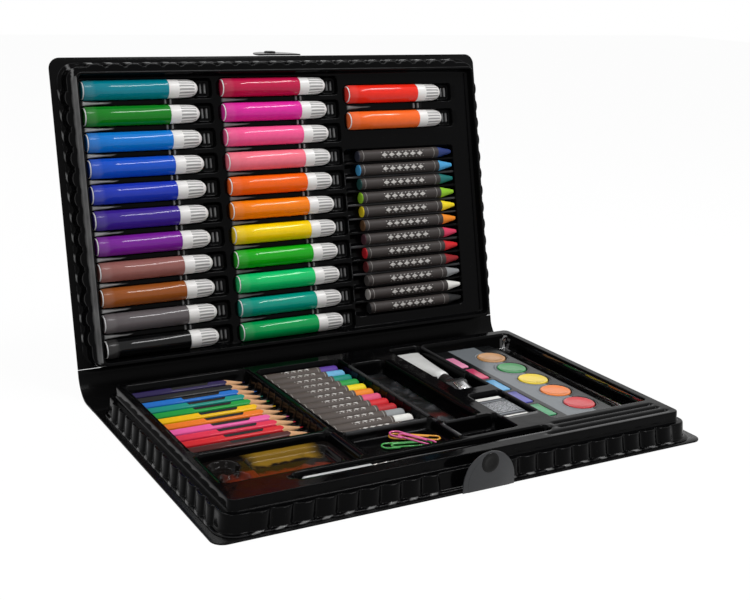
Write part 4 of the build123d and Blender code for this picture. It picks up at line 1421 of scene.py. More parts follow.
@dataclass
class BaseTray:
    """The tray on the base panel, with the wells and grooves of what lies in it."""

    wells: dict[str, Well] = field(default_factory=lambda: {
        "relief": Well(186.7, 213.7, 65.0, 190.0, 9.0),
        "glue": Well(230.2, 256.6, 140.8, 207.9, 6.0),
        "sharpener": Well(230.2, 256.6, 112.3, 139.7, 6.0),
        "eraser": Well(230.2, 256.6, 54.2, 97.6, 6.0),
        "palette": Well(259.6, 339.6, 38.7, 207.3, 8.0),
        "mixer": Well(20.6, 109.0, 35.2, 78.8, 10.0),
        "clips": Well(117.6, 182.2, 36.5, 72.5, 13.0),
        "small": Well(186.7, 227.2, 36.5, 62.0, 9.0),
        "brush": Well(61.2, 244.8, 22.5, 30.1, 12.0),
    })
    pencils: Well = Well(20.6, 109.0, 84.0, 212.35, 12.0)
    pastels: Well = Well(117.6, 182.2, 75.1, 205.65, 12.6)
    pencil_rows: tuple[float, float] = (89.6, 10.65)
    pastel_rows: tuple[float, float] = (80.7, 10.85)
    pencil_groove: tuple[float, float, float] = (3.85, 4.307, 0.577)
    pastel_groove: float = 4.95
    relief_edge: float = 0.9
    ridges: tuple[Box, ...] = (
        (236.0, 342.0, 17.0, 1.3), (250.0, 340.0, 24.0, 1.3), (250.0, 340.0, 30.5, 1.3),
    )
    ridge_depth: float = 1.5
    relief_heights: tuple[float, float] = (9.1, 11.2)

    def height(self, x: Points, y: Points) -> Points:
        """Return the field's height over each place."""
        z = np.full(x.shape, RIM)
        for x0, x1, middle, width in self.ridges:
            run = smooth((x - x0) / 4) * smooth((x1 - x) / 4)
            z -= self.ridge_depth * run * np.exp(-((y - middle) / width) ** 2)
        for well in self.wells.values():
            z = well.sink(z, x, y)
        half, depth, slope = self.pencil_groove
        offset = off_row(y, *self.pencil_rows)
        groove = np.clip((half - offset) / 0.2, 0, 1) * (depth - slope * offset)
        z = self.pencils.sink(z, x, y, self.pencils.floor - groove)
        offset = off_row(y, *self.pastel_rows)
        groove = round_groove(self.pastels.floor, self.pastel_groove, offset)
        return self.pastels.sink(z, x, y, groove)

    @staticmethod
    def glint(x: Points, _y: Points) -> Points:
        """Return how much each place catches the light: none of this tray does."""
        return np.zeros(x.shape)

    def build(self, shop: Workshop) -> None:
        """Build the tray and its relief floor."""
        across, along = well_lines([*self.wells.values(), self.pencils, self.pastels])
        pencil_lines = (0, 2, 3.65, 3.85)
        pastel_lines = (0, 2, 3.5, 4.4, 4.8, 4.97)
        for row in range(ROWS):
            for (front, pitch), lines in ((self.pencil_rows, pencil_lines),
                                          (self.pastel_rows, pastel_lines)):
                along += [front + pitch * row + side * d for side in (-1, 1) for d in lines]
        for x0, x1, middle, width in self.ridges:
            along += [middle + width * d for d in (-1.8, -1.1, -0.6, 0, 0.6, 1.1, 1.8)]
            across += [x0, x0 + 1.5, x0 + 3, x1 - 3, x1 - 1.5, x1]
        tray = FormedTray(y0=7.0, y1=220.5, front_inset=4.2, foot=(4.4, 0.6),
                          plain_front=(148.1, 199.1))
        mesh = tray.build("tray_base_sheet", shop, self.height, self.glint, across, along)
        shop.piece("formed_tray_base", mesh, BASE, None, "base", "tray_black", "tray_base")
        self.relief(shop)

    def relief(self, shop: Workshop) -> None:
        """Build the pressed relief on the long compartment's floor."""
        well = self.wells["relief"]
        seed = np.random.default_rng(7)
        bumps = seed.uniform((well.x0, well.y0, 1.6, -0.6), (well.x1, well.y1, 4.2, 1.0), (150, 4))

        def height(x: Points, y: Points) -> Points:
            """Return the relief's height over each place."""
            z = np.full(x.shape, well.floor + 0.7)
            for bx, by, width, tall in bumps:
                z += tall * np.exp(-((x - bx) ** 2 + (y - by) ** 2) / width ** 2)
            fade = smooth(well.depth(x, y) / 2.5)
            rise = np.clip(z, *self.relief_heights) - well.floor - 0.25
            return well.floor + 0.25 + rise * fade

        box = shrunk((well.x0, well.x1, well.y0, well.y1), self.relief_edge)
        grid = HeightGrid(box, 2.0, height, widest=0.8)
        mesh = grid.slab(well.floor + 0.02, 0.15).mesh("relief", 180)
        shop.piece("relief_floor", mesh, BASE, Relief().build(), "base", "tray_black")


@dataclass
class LidTray:
    """The tray on the lid panel: slots for the markers and a grooved crayon field."""

    pocket: Well = Well(15.6, 344.6, 5.6, 208.5, 13.0, 3.0, (1.0, 1.2))
    crayons: Well = Well(223.5, 325.2, 14.85, 147.6, 11.4, 3.0, (0.8, 0.8))
    crayon_rows: tuple[float, float] = (20.45, 11.05)
    crayon_groove: float = 4.65
    columns: tuple[tuple[float, float, float, int], ...] = (
        (17.6, 198.5, 18.45, 11), (123.2, 198.5, 18.45, 11), (228.8, 191.0, 20.7, 2),
    )
    slot: tuple[float, float, float] = (-0.6, 98.6, 7.25)
    slot_well: tuple[float, float, tuple[float, float]] = (5.05, 3.5, (0.7, 0.5))
    axis: float = 12.3
    tail_ribs: tuple[float, float] = (91.2, 94.6)
    joint_ribs: tuple[float, float] = (61.6, 65.6)
    rib_half: float = 0.9
    rib_slope: float = 0.45
    tail: float = 11.6
    tail_floor: float = 8.2
    ledge: float = 22.0
    ledge_half: float = 1.75
    gleam: float = 0.6
    # Boxes of painted highlight on the left and front rim walls.
    bands: tuple[Box, ...] = ((12.2, 13.8, 4.0, math.inf), (12.2, 80.0, 2.2, 2.7))

    def slots(self) -> list[tuple[Well, float]]:
        """Return every marker slot with its row."""
        made = []
        left, right, half = self.slot
        for x0, top, pitch, count in self.columns:
            for row in range(count):
                s = top - pitch * row
                well = Well(x0 + left, x0 + right, s - half, s + half, *self.slot_well)
                made.append((well, s))
        return made

    def between(self, x: Points, y: Points) -> tuple[Points, Points]:
        """Return how much each place lies on a pointed ledge or a rib between two slots."""
        sliver, ribs = np.zeros(x.shape), np.zeros(x.shape)
        for x0, top, pitch, count in self.columns:
            for row in range(count - 1):
                middle = np.abs(y - (top - pitch * (row + 0.5)))
                reach = (x - x0) / self.ledge
                inside = (reach > 0) * (reach < 1)
                sliver += smooth((self.ledge_half * (1 - reach) - middle) / 0.5) * inside
                for rib in self.joint_ribs:
                    across = smooth((self.rib_half - np.abs(x - x0 - rib)) / self.rib_slope)
                    ribs += across * smooth((2.3 - middle) / 0.6)
        return sliver, ribs

    def glint(self, x: Points, y: Points) -> Points:
        """Return how much each place catches the light."""
        # Painted highlights on the slivers, the joint ribs, the tail ribs and the rim bands.
        sliver, ribs = self.between(x, y)
        shine = sliver * np.where(x < 60, 1.3, self.gleam) + ribs * self.gleam
        for well, s in self.slots():
            for rib in self.tail_ribs:
                off = np.abs(x - well.x0 + self.slot[0] - rib)
                across = smooth((self.rib_half - 0.1 - off) / self.rib_slope)
                shine += across * smooth((3.8 - np.abs(y - s)) / 0.6) * self.gleam
        for x0, x1, y0, y1 in self.bands:
            shine += ((x > x0) & (x < x1) & (y > y0) & (y < y1)) * self.gleam
        return shine

    def height(self, x: Points, y: Points) -> Points:
        """Return the field's height over each place."""
        z = self.pocket.sink(np.full(x.shape, RIM), x, y)
        offset = off_row(y, *self.crayon_rows)
        groove = round_groove(self.crayons.floor, self.crayon_groove, offset)
        z = self.crayons.sink(z, x, y, groove)
        sliver, rib = self.between(x, y)
        z += 1.3 * sliver + 1.2 * rib
        for well, s in self.slots():
            offset = np.abs(y - s)
            floor = round_groove(self.axis, self.slot[2], offset)
            tail = smooth((x - well.x1 + self.tail) / 1.5)
            floor = floor * (1 - tail) + np.maximum(floor, self.tail_floor) * tail
            for rib in self.tail_ribs:
                off = np.abs(x - well.x0 + self.slot[0] - rib)
                place = smooth((self.rib_half - off) / self.rib_slope)
                floor = floor + place * smooth((4.2 - offset) / 0.6) * 1.6
            z = well.sink(z, x, y, floor)
        return z

    def build(self, shop: Workshop) -> None:
        """Build the tray."""
        across, along = well_lines((self.pocket, self.crayons))
        for x0, top, pitch, count in self.columns:
            across += [x0 + self.slot[0] + d for d in (-0.7, -0.35, 0, 0.5, 1.5, 3.5)]
            across += [x0 + self.slot[1] - d for d in (-0.7, -0.35, 0, 0.5, 1.2, 2.2, 3.5)]
            across += [x0 + 87.0, x0 + 88.5]
            for rib in (*self.tail_ribs, *self.joint_ribs):
                across += [x0 + rib + d for d in (-0.9, -0.45, 0.45, 0.9)]
            for row in range(count):
                s = top - pitch * row
                along += [s + side * d for side in (-1, 1)
                          for d in (0, 1.8, 3.6, 4.2, 5.2, 6.2, 6.75, 7.0, 7.25, 7.6, 7.95)]
                along += [s - pitch / 2 + d for d in (-1.7, -0.9, 0, 0.9, 1.7)]
        front, pitch = self.crayon_rows
        for row in range(ROWS):
            along += [front + pitch * row + side * d for side in (-1, 1)
                      for d in (0, 2, 3.4, 4.2, 4.55, 4.68)]
        tray = FormedTray(y0=1.6, y1=215.1, front_inset=1.0, foot=(0.6, 4.4),
                          plain_front=(0.0, SHEET_WIDTH))
        mesh = tray.build("tray_lid_sheet", shop, self.height, self.glint, across, along)
        shop.piece("formed_tray_lid", mesh, LID, None, "lid", "tray_black", "tray_lid")


@dataclass
class Clasp:
    """The closing flap on the base panel and the tab with its stud on the lid panel."""

    flap: tuple[float, float, float] = (38.0, 24.4, 1.0)
    raised: tuple[float, float, float] = (7.0, 3.5, 4.5)
    soft: float = 0.25
    snap: tuple[float, float] = (13.0, 17.0)
    tab: tuple[float, float, float] = (36.0, 27.0, 1.0)
    stud: tuple[float, float] = (9.0, 1.2)
    hinge_out: float = 0.8
    tab_angle: float = -78.0

    @staticmethod
    def outline(width: float, height: float, foot: float = 4.0) -> Points:
        """Return a straight foot with a half round top."""
        half = width / 2
        angle = np.linspace(0, math.pi, 41)
        top = np.column_stack([half * np.cos(angle), foot + (height - foot) * np.sin(angle)])
        return np.concatenate([[(-half, -0.3), (half, -0.3)], top])

    def build(self, shop: Workshop) -> None:
        """Build the flap with its snap and the tab with its stud."""
        smoke = Plastic("clasp_smoke", tint("#323335"), roughness=0.22, specular=0.3).build()
        front = BASE.hinged(-self.hinge_out, HALF_SHEET, 90.0)
        width, height, thick = self.flap
        shape = Shape().plate(self.outline(width, height), -thick / 2, thick / 2, self.soft)
        narrower, lower, foot = self.raised
        shape.plate(self.outline(width - narrower, height - lower, foot), thick / 2 - 0.1,
                    thick / 2 + 0.15, 0.1)
        shop.piece("clasp_flap_plate", shape.mesh("flap"), front, smoke, "flap",
                   "clasp_smoke", "clasp_flap")
        r, up = self.snap[0] / 2, self.snap[1]
        profile = [(-1.0, r * 0.5), (-1.1, r * 0.72), (-0.9, r * 0.85), (-0.65, r * 0.97),
                   (-0.5, r), (0.5, r), (0.9, r * 0.96), (1.1, r * 0.85), (1.1, r * 0.62),
                   (0.85, r * 0.52), (0.8, r * 0.2)]
        black = Plastic("snap_black", tint("#080808"), specular=0.15).build()
        shape = Shape().spool(0, up, profile, 40)
        shop.piece("clasp_snap_disc", shape.mesh("snap"), front, black, "flap",
                   "snap_black", "clasp_snap")
        back = LID.hinged(PANEL_DEPTH + self.hinge_out, HALF_SHEET, self.tab_angle)
        width, height, thick = self.tab
        shape = Shape().plate(self.outline(width, height), -thick / 2, thick / 2, self.soft)
        shop.piece("lid_tab_plate", shape.mesh("tab"), back, shop.cover, "tab",
                   "cover_sheet", "lid_tab")
        r, tall, z = self.stud[0] / 2, self.stud[1], thick / 2
        profile = [(z - 0.1, r), (z + tall * 0.5, r), (z + tall * 0.85, r * 0.92),
                   (z + tall, r * 0.7), (z + tall, r * 0.3)]
        shape = Shape().spool(0, height - 2 * r, profile, 32)
        shop.piece("lid_tab_stud_disc", shape.mesh("stud"), back, black, "tab",
                   "snap_black", "lid_tab_stud")


@dataclass
class Pencils:
    """Twelve hexagonal coloured pencils, sharpened at the right end."""

    start: tuple[float, float, float] = (21.8, 206.75, 12.0)
    pitch: float = 10.65
    length: float = 86.0
    flats: float = 7.2
    cone: float = 15.0
    lead: float = 2.4
    printed: tuple[float, float] = (29.0, 57.0)
    barrels: tuple[str, ...] = (
        "#22154a", "#141416", "#1a6fc8", "#0d8f80", "#0f9a3c", "#f5c200",
        "#f07c1c", "#f060a8", "#e23050", "#d8202a", "#4a1512", "#121214",
    )

    @staticmethod
    def hexagon(angle: Points, _x: float) -> Points:
        """Return the factor that makes a round section a hexagon with softened corners."""
        turn = (angle + math.pi / 6) % (math.pi / 3) - math.pi / 6
        return np.minimum(1 / np.cos(turn), 1.125)

    def build(self, shop: Workshop) -> None:
        """Build the barrels, the wood cones and the leads."""
        radius = self.flats / 2
        slope = self.cone / radius
        barrel = Shape().rod([
            (0.0, radius - 0.5), (0.12, radius - 0.2), (0.4, radius), (30, radius),
            (self.length - self.cone - 2, radius), (self.length - self.cone, radius),
        ], 36, self.hexagon)
        joint = barrel.points[-1]
        ring = np.hypot(joint[:, 1], joint[:, 2])
        joint[:, 0] = self.length - ring * slope
        wood, loops = Shape(), [joint]
        for reach in (0.8, 0.55, 0.3, self.lead / self.cone):
            loop = joint * (radius * reach / ring)[:, None]
            loop[:, 0] = self.length - radius * reach * slope
            loops.append(loop)
        wood.rings(loops)
        tip = self.lead / self.cone * radius
        lead = Shape().rod([
            (self.length - self.lead, tip), (self.length - self.lead * 0.5, tip * 0.5),
            (self.length - 0.15, 0.22), (self.length, 0.1),
        ], 12)
        paints = tints(self.barrels)
        painted = RowPaint("pencil_paint", paints, roughness=0.22, printed=self.printed)
        leads = RowPaint("pencil_leads", paints, roughness=0.45)
        shop.stick_rows(self.start, self.pitch, ROWS, BASE, "base", (
            ("pencil_barrel_row", barrel, painted.build(), "pencil_black", "pencil_barrels"),
            ("pencil_cone_row", wood, Wood().build(), "cedar", "pencil_wood_cones"),
            ("pencil_lead_row", lead, leads.build(), "pencil_lead", "pencil_leads"),
        ))


@dataclass
class Pastels:
    """Twelve oil pastels in dark paper sleeves."""

    start: tuple[float, float, float] = (118.8, 200.05, 12.6)
    pitch: float = 10.85
    length: float = 61.0
    sleeve: float = 46.0
    diameter: float = 9.6
    tips: tuple[str, ...] = (
        "#5a3a9a", "#6fb4dc", "#138a78", "#2a9a46", "#f2da22", "#f08a22",
        "#e0577e", "#d2232c", "#b51f28", "#8f9294", "#ecebe6", "#1a1a1c",
    )

    def build(self, shop: Workshop) -> None:
        """Build the sleeves and the sticks."""
        radius = self.diameter / 2
        sleeve = Shape().rod([
            (0.0, radius - 0.9), (0.1, radius - 0.15), (0.35, radius), (20, radius),
            (self.sleeve - 0.1, radius), (self.sleeve, radius - 0.12),
        ], 36)
        stick = Shape().rod([
            (self.sleeve - 0.05, radius - 0.35), (self.sleeve + 1, radius - 0.3),
            (self.length - 2.4, radius - 0.35), (self.length - 1.2, radius - 0.6),
            (self.length - 0.4, radius - 1.1), (self.length, radius - 1.8),
        ], 36)
        paper = PaperSleeve("pastel_paper", tint("#544b46"), tint("#d8d6d2"), pitch=5.5,
                            height=1.3, span=(15.0, 37.0), rings=(2.0, 44.0))
        wax = RowPaint("pastel_wax", tints(self.tips), roughness=0.5)
        shop.stick_rows(self.start, self.pitch, ROWS, BASE, "base", (
            ("pastel_sleeve_row", sleeve, paper.build(), "pastel_paper", "pastel_sleeves"),
            ("pastel_stick_row", stick, wax.build(), "pastel_wax", "pastel_sticks"),
        ))


@dataclass
class Markers:
    """Fibre pens with ribbed caps, in two full columns and a short one."""

    barrel: float = 63.6
    cap: float = 24.0
    radius: float = 7.1
    axis: float = 12.3
    plain_cap: float = 8.0
    ribs: int = 16
    rib_depth: float = 0.08
    dome: float = 4.0
    columns: tuple[tuple[str, float, float, float], ...] = (
        ("left", 17.6, 198.5, 18.45), ("middle", 123.2, 198.5, 18.45),
        ("right", 228.8, 191.0, 20.7),
    )
    barrels: tuple[tuple[str, ...], ...] = (
        ("#007f90", "#0b7d18", "#0a78d2", "#0f50c6", "#1d36b4", "#3b228f",
         "#7a1f98", "#96605a", "#97511f", "#625c5e", "#0b0b0c"),
        ("#bf1446", "#e0289e", "#fa5a96", "#fa788c", "#fa6408", "#fb8208",
         "#fbd400", "#12ab14", "#10c86e", "#009884", "#00a052"),
        ("#ee2a18", "#f86a24"),
    )

    def ribbed(self, angle: Points, x: float) -> Points:
        """Return the factor that draws the cap's lengthwise ribs."""
        share = smooth((x - self.barrel - self.plain_cap) / 1.2)
        share *= smooth((self.barrel + self.cap - self.dome - x) / 3.0)
        wave = np.cos(angle * self.ribs) * 0.5 + 0.5
        return 1 - self.rib_depth * share * (1 - wave ** 0.7)

    def build(self, shop: Workshop) -> None:
        """Build the barrels and the caps of each column."""
        r, start, end = self.radius, self.barrel, self.barrel + self.cap
        barrel = Shape().rod([
            (0.0, r * 0.45), (0.1, r * 0.8), (0.3, r * 0.88), (1.0, r * 0.9), (1.02, r * 0.95),
            (1.3, r), (20, r), (40, r), (start - 0.5, r), (start - 0.1, r - 0.12),
            (start, r - 0.3),
        ], 48)
        cap = Shape().rod([
            (start - 0.05, r - 0.5), (start + 0.1, r - 0.3), (start + 0.5, r - 0.22),
            (start + 7.6, r - 0.3), (start + 8.2, r - 0.32), (start + 8.8, r - 0.33),
            (start + 9.4, r - 0.34), (start + 14, r - 0.5), (end - 6.6, r - 0.65),
            (end - 5.2, r - 0.95), (end - 3.9, r - 1.45), (end - 2.6, r - 2.25),
            (end - 1.4, r - 3.4), (end - 0.5, r - 4.8), (end, r - 6.4),
        ], 80, self.ribbed)
        white = RibbedCap("cap_white", tint("#e4e2e0"), self.ribs,
                          (start + self.plain_cap, end - self.dome)).build()
        for (name, x, top, pitch), codes in zip(self.columns, self.barrels):
            # end=1.0 paints a thin highlight ring near each barrel's end.
            paint = RowPaint(f"marker_{name}", tints(codes), roughness=0.11, end=1.0,
                             pale=9.5).build()
            shop.stick_rows((x, top, self.axis), pitch, len(codes), LID, "lid", (
                (f"marker_{name}_barrels", barrel, paint, "marker_body",
                 f"marker_barrels_{name}"),
                (f"marker_{name}_caps", cap, white, "marker_cap", f"marker_caps_{name}"),
            ), 60)


@dataclass
class Crayons:
    """Twelve wax crayons in paper wrappers."""

    start: tuple[float, float, float] = (235.5, 142.0, 11.4)
    pitch: float = 11.05
    length: float = 88.5
    tip: float = 14.0
    diameter: float = 9.0
    tips: tuple[str, ...] = (
        "#23356e", "#4a9fd2", "#156a66", "#8fc42c", "#f0d622", "#ee8a24",
        "#d43a5e", "#cf2128", "#8e1c22", "#8d8f91", "#e8e7e2", "#1a1a1b",
    )
    butts: tuple[str, ...] = (
        "#2a2c38", "#4a9fd2", "#1d4744", "#8fc42c", "#e0c822", "#5a4028",
        "#4a2c34", "#c2202a", "#5c2022", "#4b4745", "#a8a5a1", "#1a1a1b",
    )

    def build(self, shop: Workshop) -> None:
        """Build the wrappers and the sticks."""
        radius, split = self.diameter / 2, self.length - self.tip
        wrapper = Shape().rod([
            (0.0, radius - 0.9), (0.08, radius - 0.25), (0.6, radius - 0.22), (0.7, radius),
            (30, radius), (split - 0.1, radius), (split, radius - 0.15),
        ], 36)
        stick = Shape().rod([
            (split - 0.05, radius - 0.3), (split + 1.6, radius - 0.3), (split + 2.0, radius - 0.4),
            (split + 7.0, radius - 1.5), (self.length - 1.0, 1.7), (self.length - 0.3, 1.4),
            (self.length, 0.8),
        ], 32)
        paper = PaperSleeve("crayon_paper", tint("#383230"), tint("#c9c6c2"), pitch=6.6,
                            height=1.7, span=(20.0, 60.0), rings=(4.0, 70.0),
                            colours=tints(self.butts), end=0.65)
        wax = RowPaint("crayon_wax", tints(self.tips), roughness=0.45)
        shop.stick_rows(self.start, self.pitch, ROWS, LID, "lid", (
            ("crayon_wrapper_row", wrapper, paper.build(), "crayon_paper", "crayon_wrappers"),
            ("crayon_stick_row", stick, wax.build(), "crayon_wax", "crayon_sticks"),
        ))


@dataclass
class Paints:
    """The paint palette with its round cakes and its small pans."""

    box: Box = (259.9, 323.9, 39.0, 207.0)
    bottom: float = 8.15
    top: float = 12.15
    edge: float = 0.3
    pitch: float = 27.4
    middle: float = 124.37
    cake_x: float = 306.4
    cake_radius: float = 11.2
    pan_x: float = 271.9
    pan: tuple[float, float, float] = (12.4, 22.4, 3.0)
    sink: float = 2.6
    cakes: tuple[tuple[str, str], ...] = (
        ("red", "#c8202a"), ("orange", "#ea7a1e"), ("yellow", "#efd024"),
        ("green", "#2c8c48"), ("tan", "#c08a52"),
    )
    pans: tuple[tuple[str, str], ...] = (
        ("green", "#2f8f5c"), ("violet", "#4a48a6"), ("blue", "#58a6d8"),
        ("rose", "#cf3c68"), ("pink", "#e890b4"),
    )

    def rows(self) -> list[float]:
        """Return the centres of the five rows, front to back."""
        return [self.middle + self.pitch * (row - 2) for row in range(5)]

    def height(self, x: Points, y: Points) -> Points:
        """Return the plate's height over each place."""
        z = np.full(x.shape, self.top)
        half_x, half_y = self.pan[0] / 2, self.pan[1] / 2
        for row in self.rows():
            reach = np.hypot(x - self.cake_x, y - row)
            z += 0.5 * np.exp(-((reach - self.cake_radius - 1.4) / 0.6) ** 2)
            z -= self.sink * smooth((self.cake_radius + 0.75 - reach) / 0.7)
            well = Well(self.pan_x - half_x, self.pan_x + half_x, row - half_y, row + half_y,
                        self.top - self.sink, 1.2, (0.6, 0.2))
            z = well.sink(z, x, y)
        return z

    def build(self, shop: Workshop) -> None:
        """Build the plate, the cakes and the pans."""
        grid = HeightGrid(shrunk(self.box, self.edge), 3.0, self.height, widest=0.8)
        mesh = grid.slab(self.bottom, self.edge).mesh("palette_plate", 180)
        tones = (tint("#101112"), tint("#6f7478"))
        plate = Zoned("palette_plate", tones, zone=(283.0, 309.0), blur=2.0)
        shop.piece("palette_plate", mesh, BASE, plate.build(), "palette", "palette_plate",
                   "paint_palette")
        floor, r = self.top - self.sink, self.cake_radius
        profile = [(floor, r), (floor + 2.6, r), (floor + 3.1, r - 0.2), (floor + 3.35, r - 0.7),
                   (floor + 3.35, r - 1.4), (floor + 3.05, r - 2.0), (floor + 2.95, r * 0.4)]
        for (name, code), y in zip(self.cakes, self.rows()):
            paint = Plastic(f"cake_{name}", tint(code), roughness=0.3, grain=0.3, coat=0.3).build()
            mesh = Shape().spool(self.cake_x, y, profile, 48).mesh(name)
            shop.piece(f"cake_{name}", mesh, BASE, paint, "palette", f"paint_{name}",
                       f"paint_cake_{name}")
        half_x, half_y = self.pan[0] / 2, self.pan[1] / 2
        for (name, code), y in zip(self.pans, self.rows()):
            paint = Plastic(f"pan_{name}", tint(code), roughness=0.35, grain=0.3,
                            coat=0.2).build()
            mesh = Shape().block(
                self.pan_x - half_x, self.pan_x + half_x, y - half_y, y + half_y,
                floor, floor + self.pan[2], 1.2, 0.5,
            ).mesh(name)
            shop.piece(f"pan_{name}", mesh, BASE, paint, "palette", f"paint_{name}",
                       f"paint_pan_{name}")


@dataclass
class MixingPlate:
    """The smoky mixing plate with two round wells and a trough."""

    box: Box = (20.9, 108.7, 35.5, 78.5)
    bottom: float = 10.15
    top: float = 15.15
    edge: float = 0.5
    sink: float = 3.6
    trough: Box = (47.9, 102.7, 41.5, 72.5)
    round_wells: tuple[tuple[float, float], ...] = ((32.6, 48.1), (32.6, 65.9))
    well_radius: float = 9.0

    def height(self, x: Points, y: Points) -> Points:
        """Return the plate's height over each place."""
        z = np.full(x.shape, self.top)
        for cx, cy in self.round_wells:
            reach = np.hypot(x - cx, y - cy)
            z -= self.sink * smooth((self.well_radius + 0.5 - reach) / 2.2)
        trough = Well(*self.trough, self.top - self.sink, radius=6.0, foot=(0.6, 1.8))
        return trough.sink(z, x, y)

    def build(self, shop: Workshop) -> None:
        """Build the plate."""
        grid = HeightGrid(shrunk(self.box, self.edge), 6.0, self.height, widest=0.9)
        mesh = grid.slab(self.bottom, self.edge).mesh("mixing_plate", 180)
        amber = SmokyAmber("mixing_amber", self.box, tint("#80621c"), tint("#5e200e"))
        shop.piece("mixing_plate", mesh, BASE, amber.build(), "mixer", "mixing_plate",
                   "mixing_palette")


@dataclass
class Brush:
    """The paintbrush with its milky hair guard."""

    place: tuple[float, float, float] = (66.0, 26.3, 15.2)

    def build(self, shop: Workshop) -> None:
        """Build the guard, the hair, the ferrule and the handle."""
        guard = Shape().rod([
            (0.0, 1.6), (0.25, 2.5), (0.8, 3.0), (1.6, 3.2), (20, 3.2), (45.4, 3.2),
            (45.9, 3.1), (46.0, 2.75),
        ], 32)
        hair = Shape().rod([
            (17.5, 0.15), (20, 0.9), (24, 1.5), (28, 1.75), (30.5, 1.8),
        ], 48, lambda angle, x: 1 - 0.08 * (np.sin(angle * 16) > 0))
        ferrule = Shape().rod([
            (30.0, 1.9), (30.3, 2.1), (40, 2.3), (46, 2.4), (49.0, 2.5), (49.4, 2.7),
            (49.8, 2.7), (50.2, 2.5), (56, 2.5), (56.4, 2.7), (56.8, 2.7), (57.2, 2.5),
            (61.6, 2.5), (62.0, 2.3),
        ], 32)
        handle = Shape().rod([
            (61.8, 2.2), (62.2, 2.5), (66, 2.75), (74, 2.9), (90, 2.7), (130, 2.05),
            (160, 1.6), (172, 1.5), (173.4, 1.2), (174.0, 0.6),
        ], 32)
        milky = Plastic("guard_milky", tint("#dfe1e2"), roughness=0.2, coat=0.3,
                        transmission=0.35)
        tuft = Plastic("brush_tuft", tint("#7d4f2a"), roughness=0.6, grain=1.0)
        black = Plastic("handle_black", tint("#101011"), roughness=0.18, coat=0.5)
        nickel = Metal("ferrule_nickel", (0.72, 0.71, 0.68), roughness=0.18)
        for name, shape, finish, slot in (
            ("guard", guard, milky, "guard_clear"),
            ("hair", hair, tuft, "brush_hair"),
            ("ferrule", ferrule, nickel, "ferrule_metal"),
            ("handle", handle, black, "handle_black"),
        ):
            mesh = shape.moved(self.place).mesh(name)
            shop.piece(f"paintbrush_{name}", mesh, BASE, finish.build(), "brush", slot,
                       f"brush_{name}")


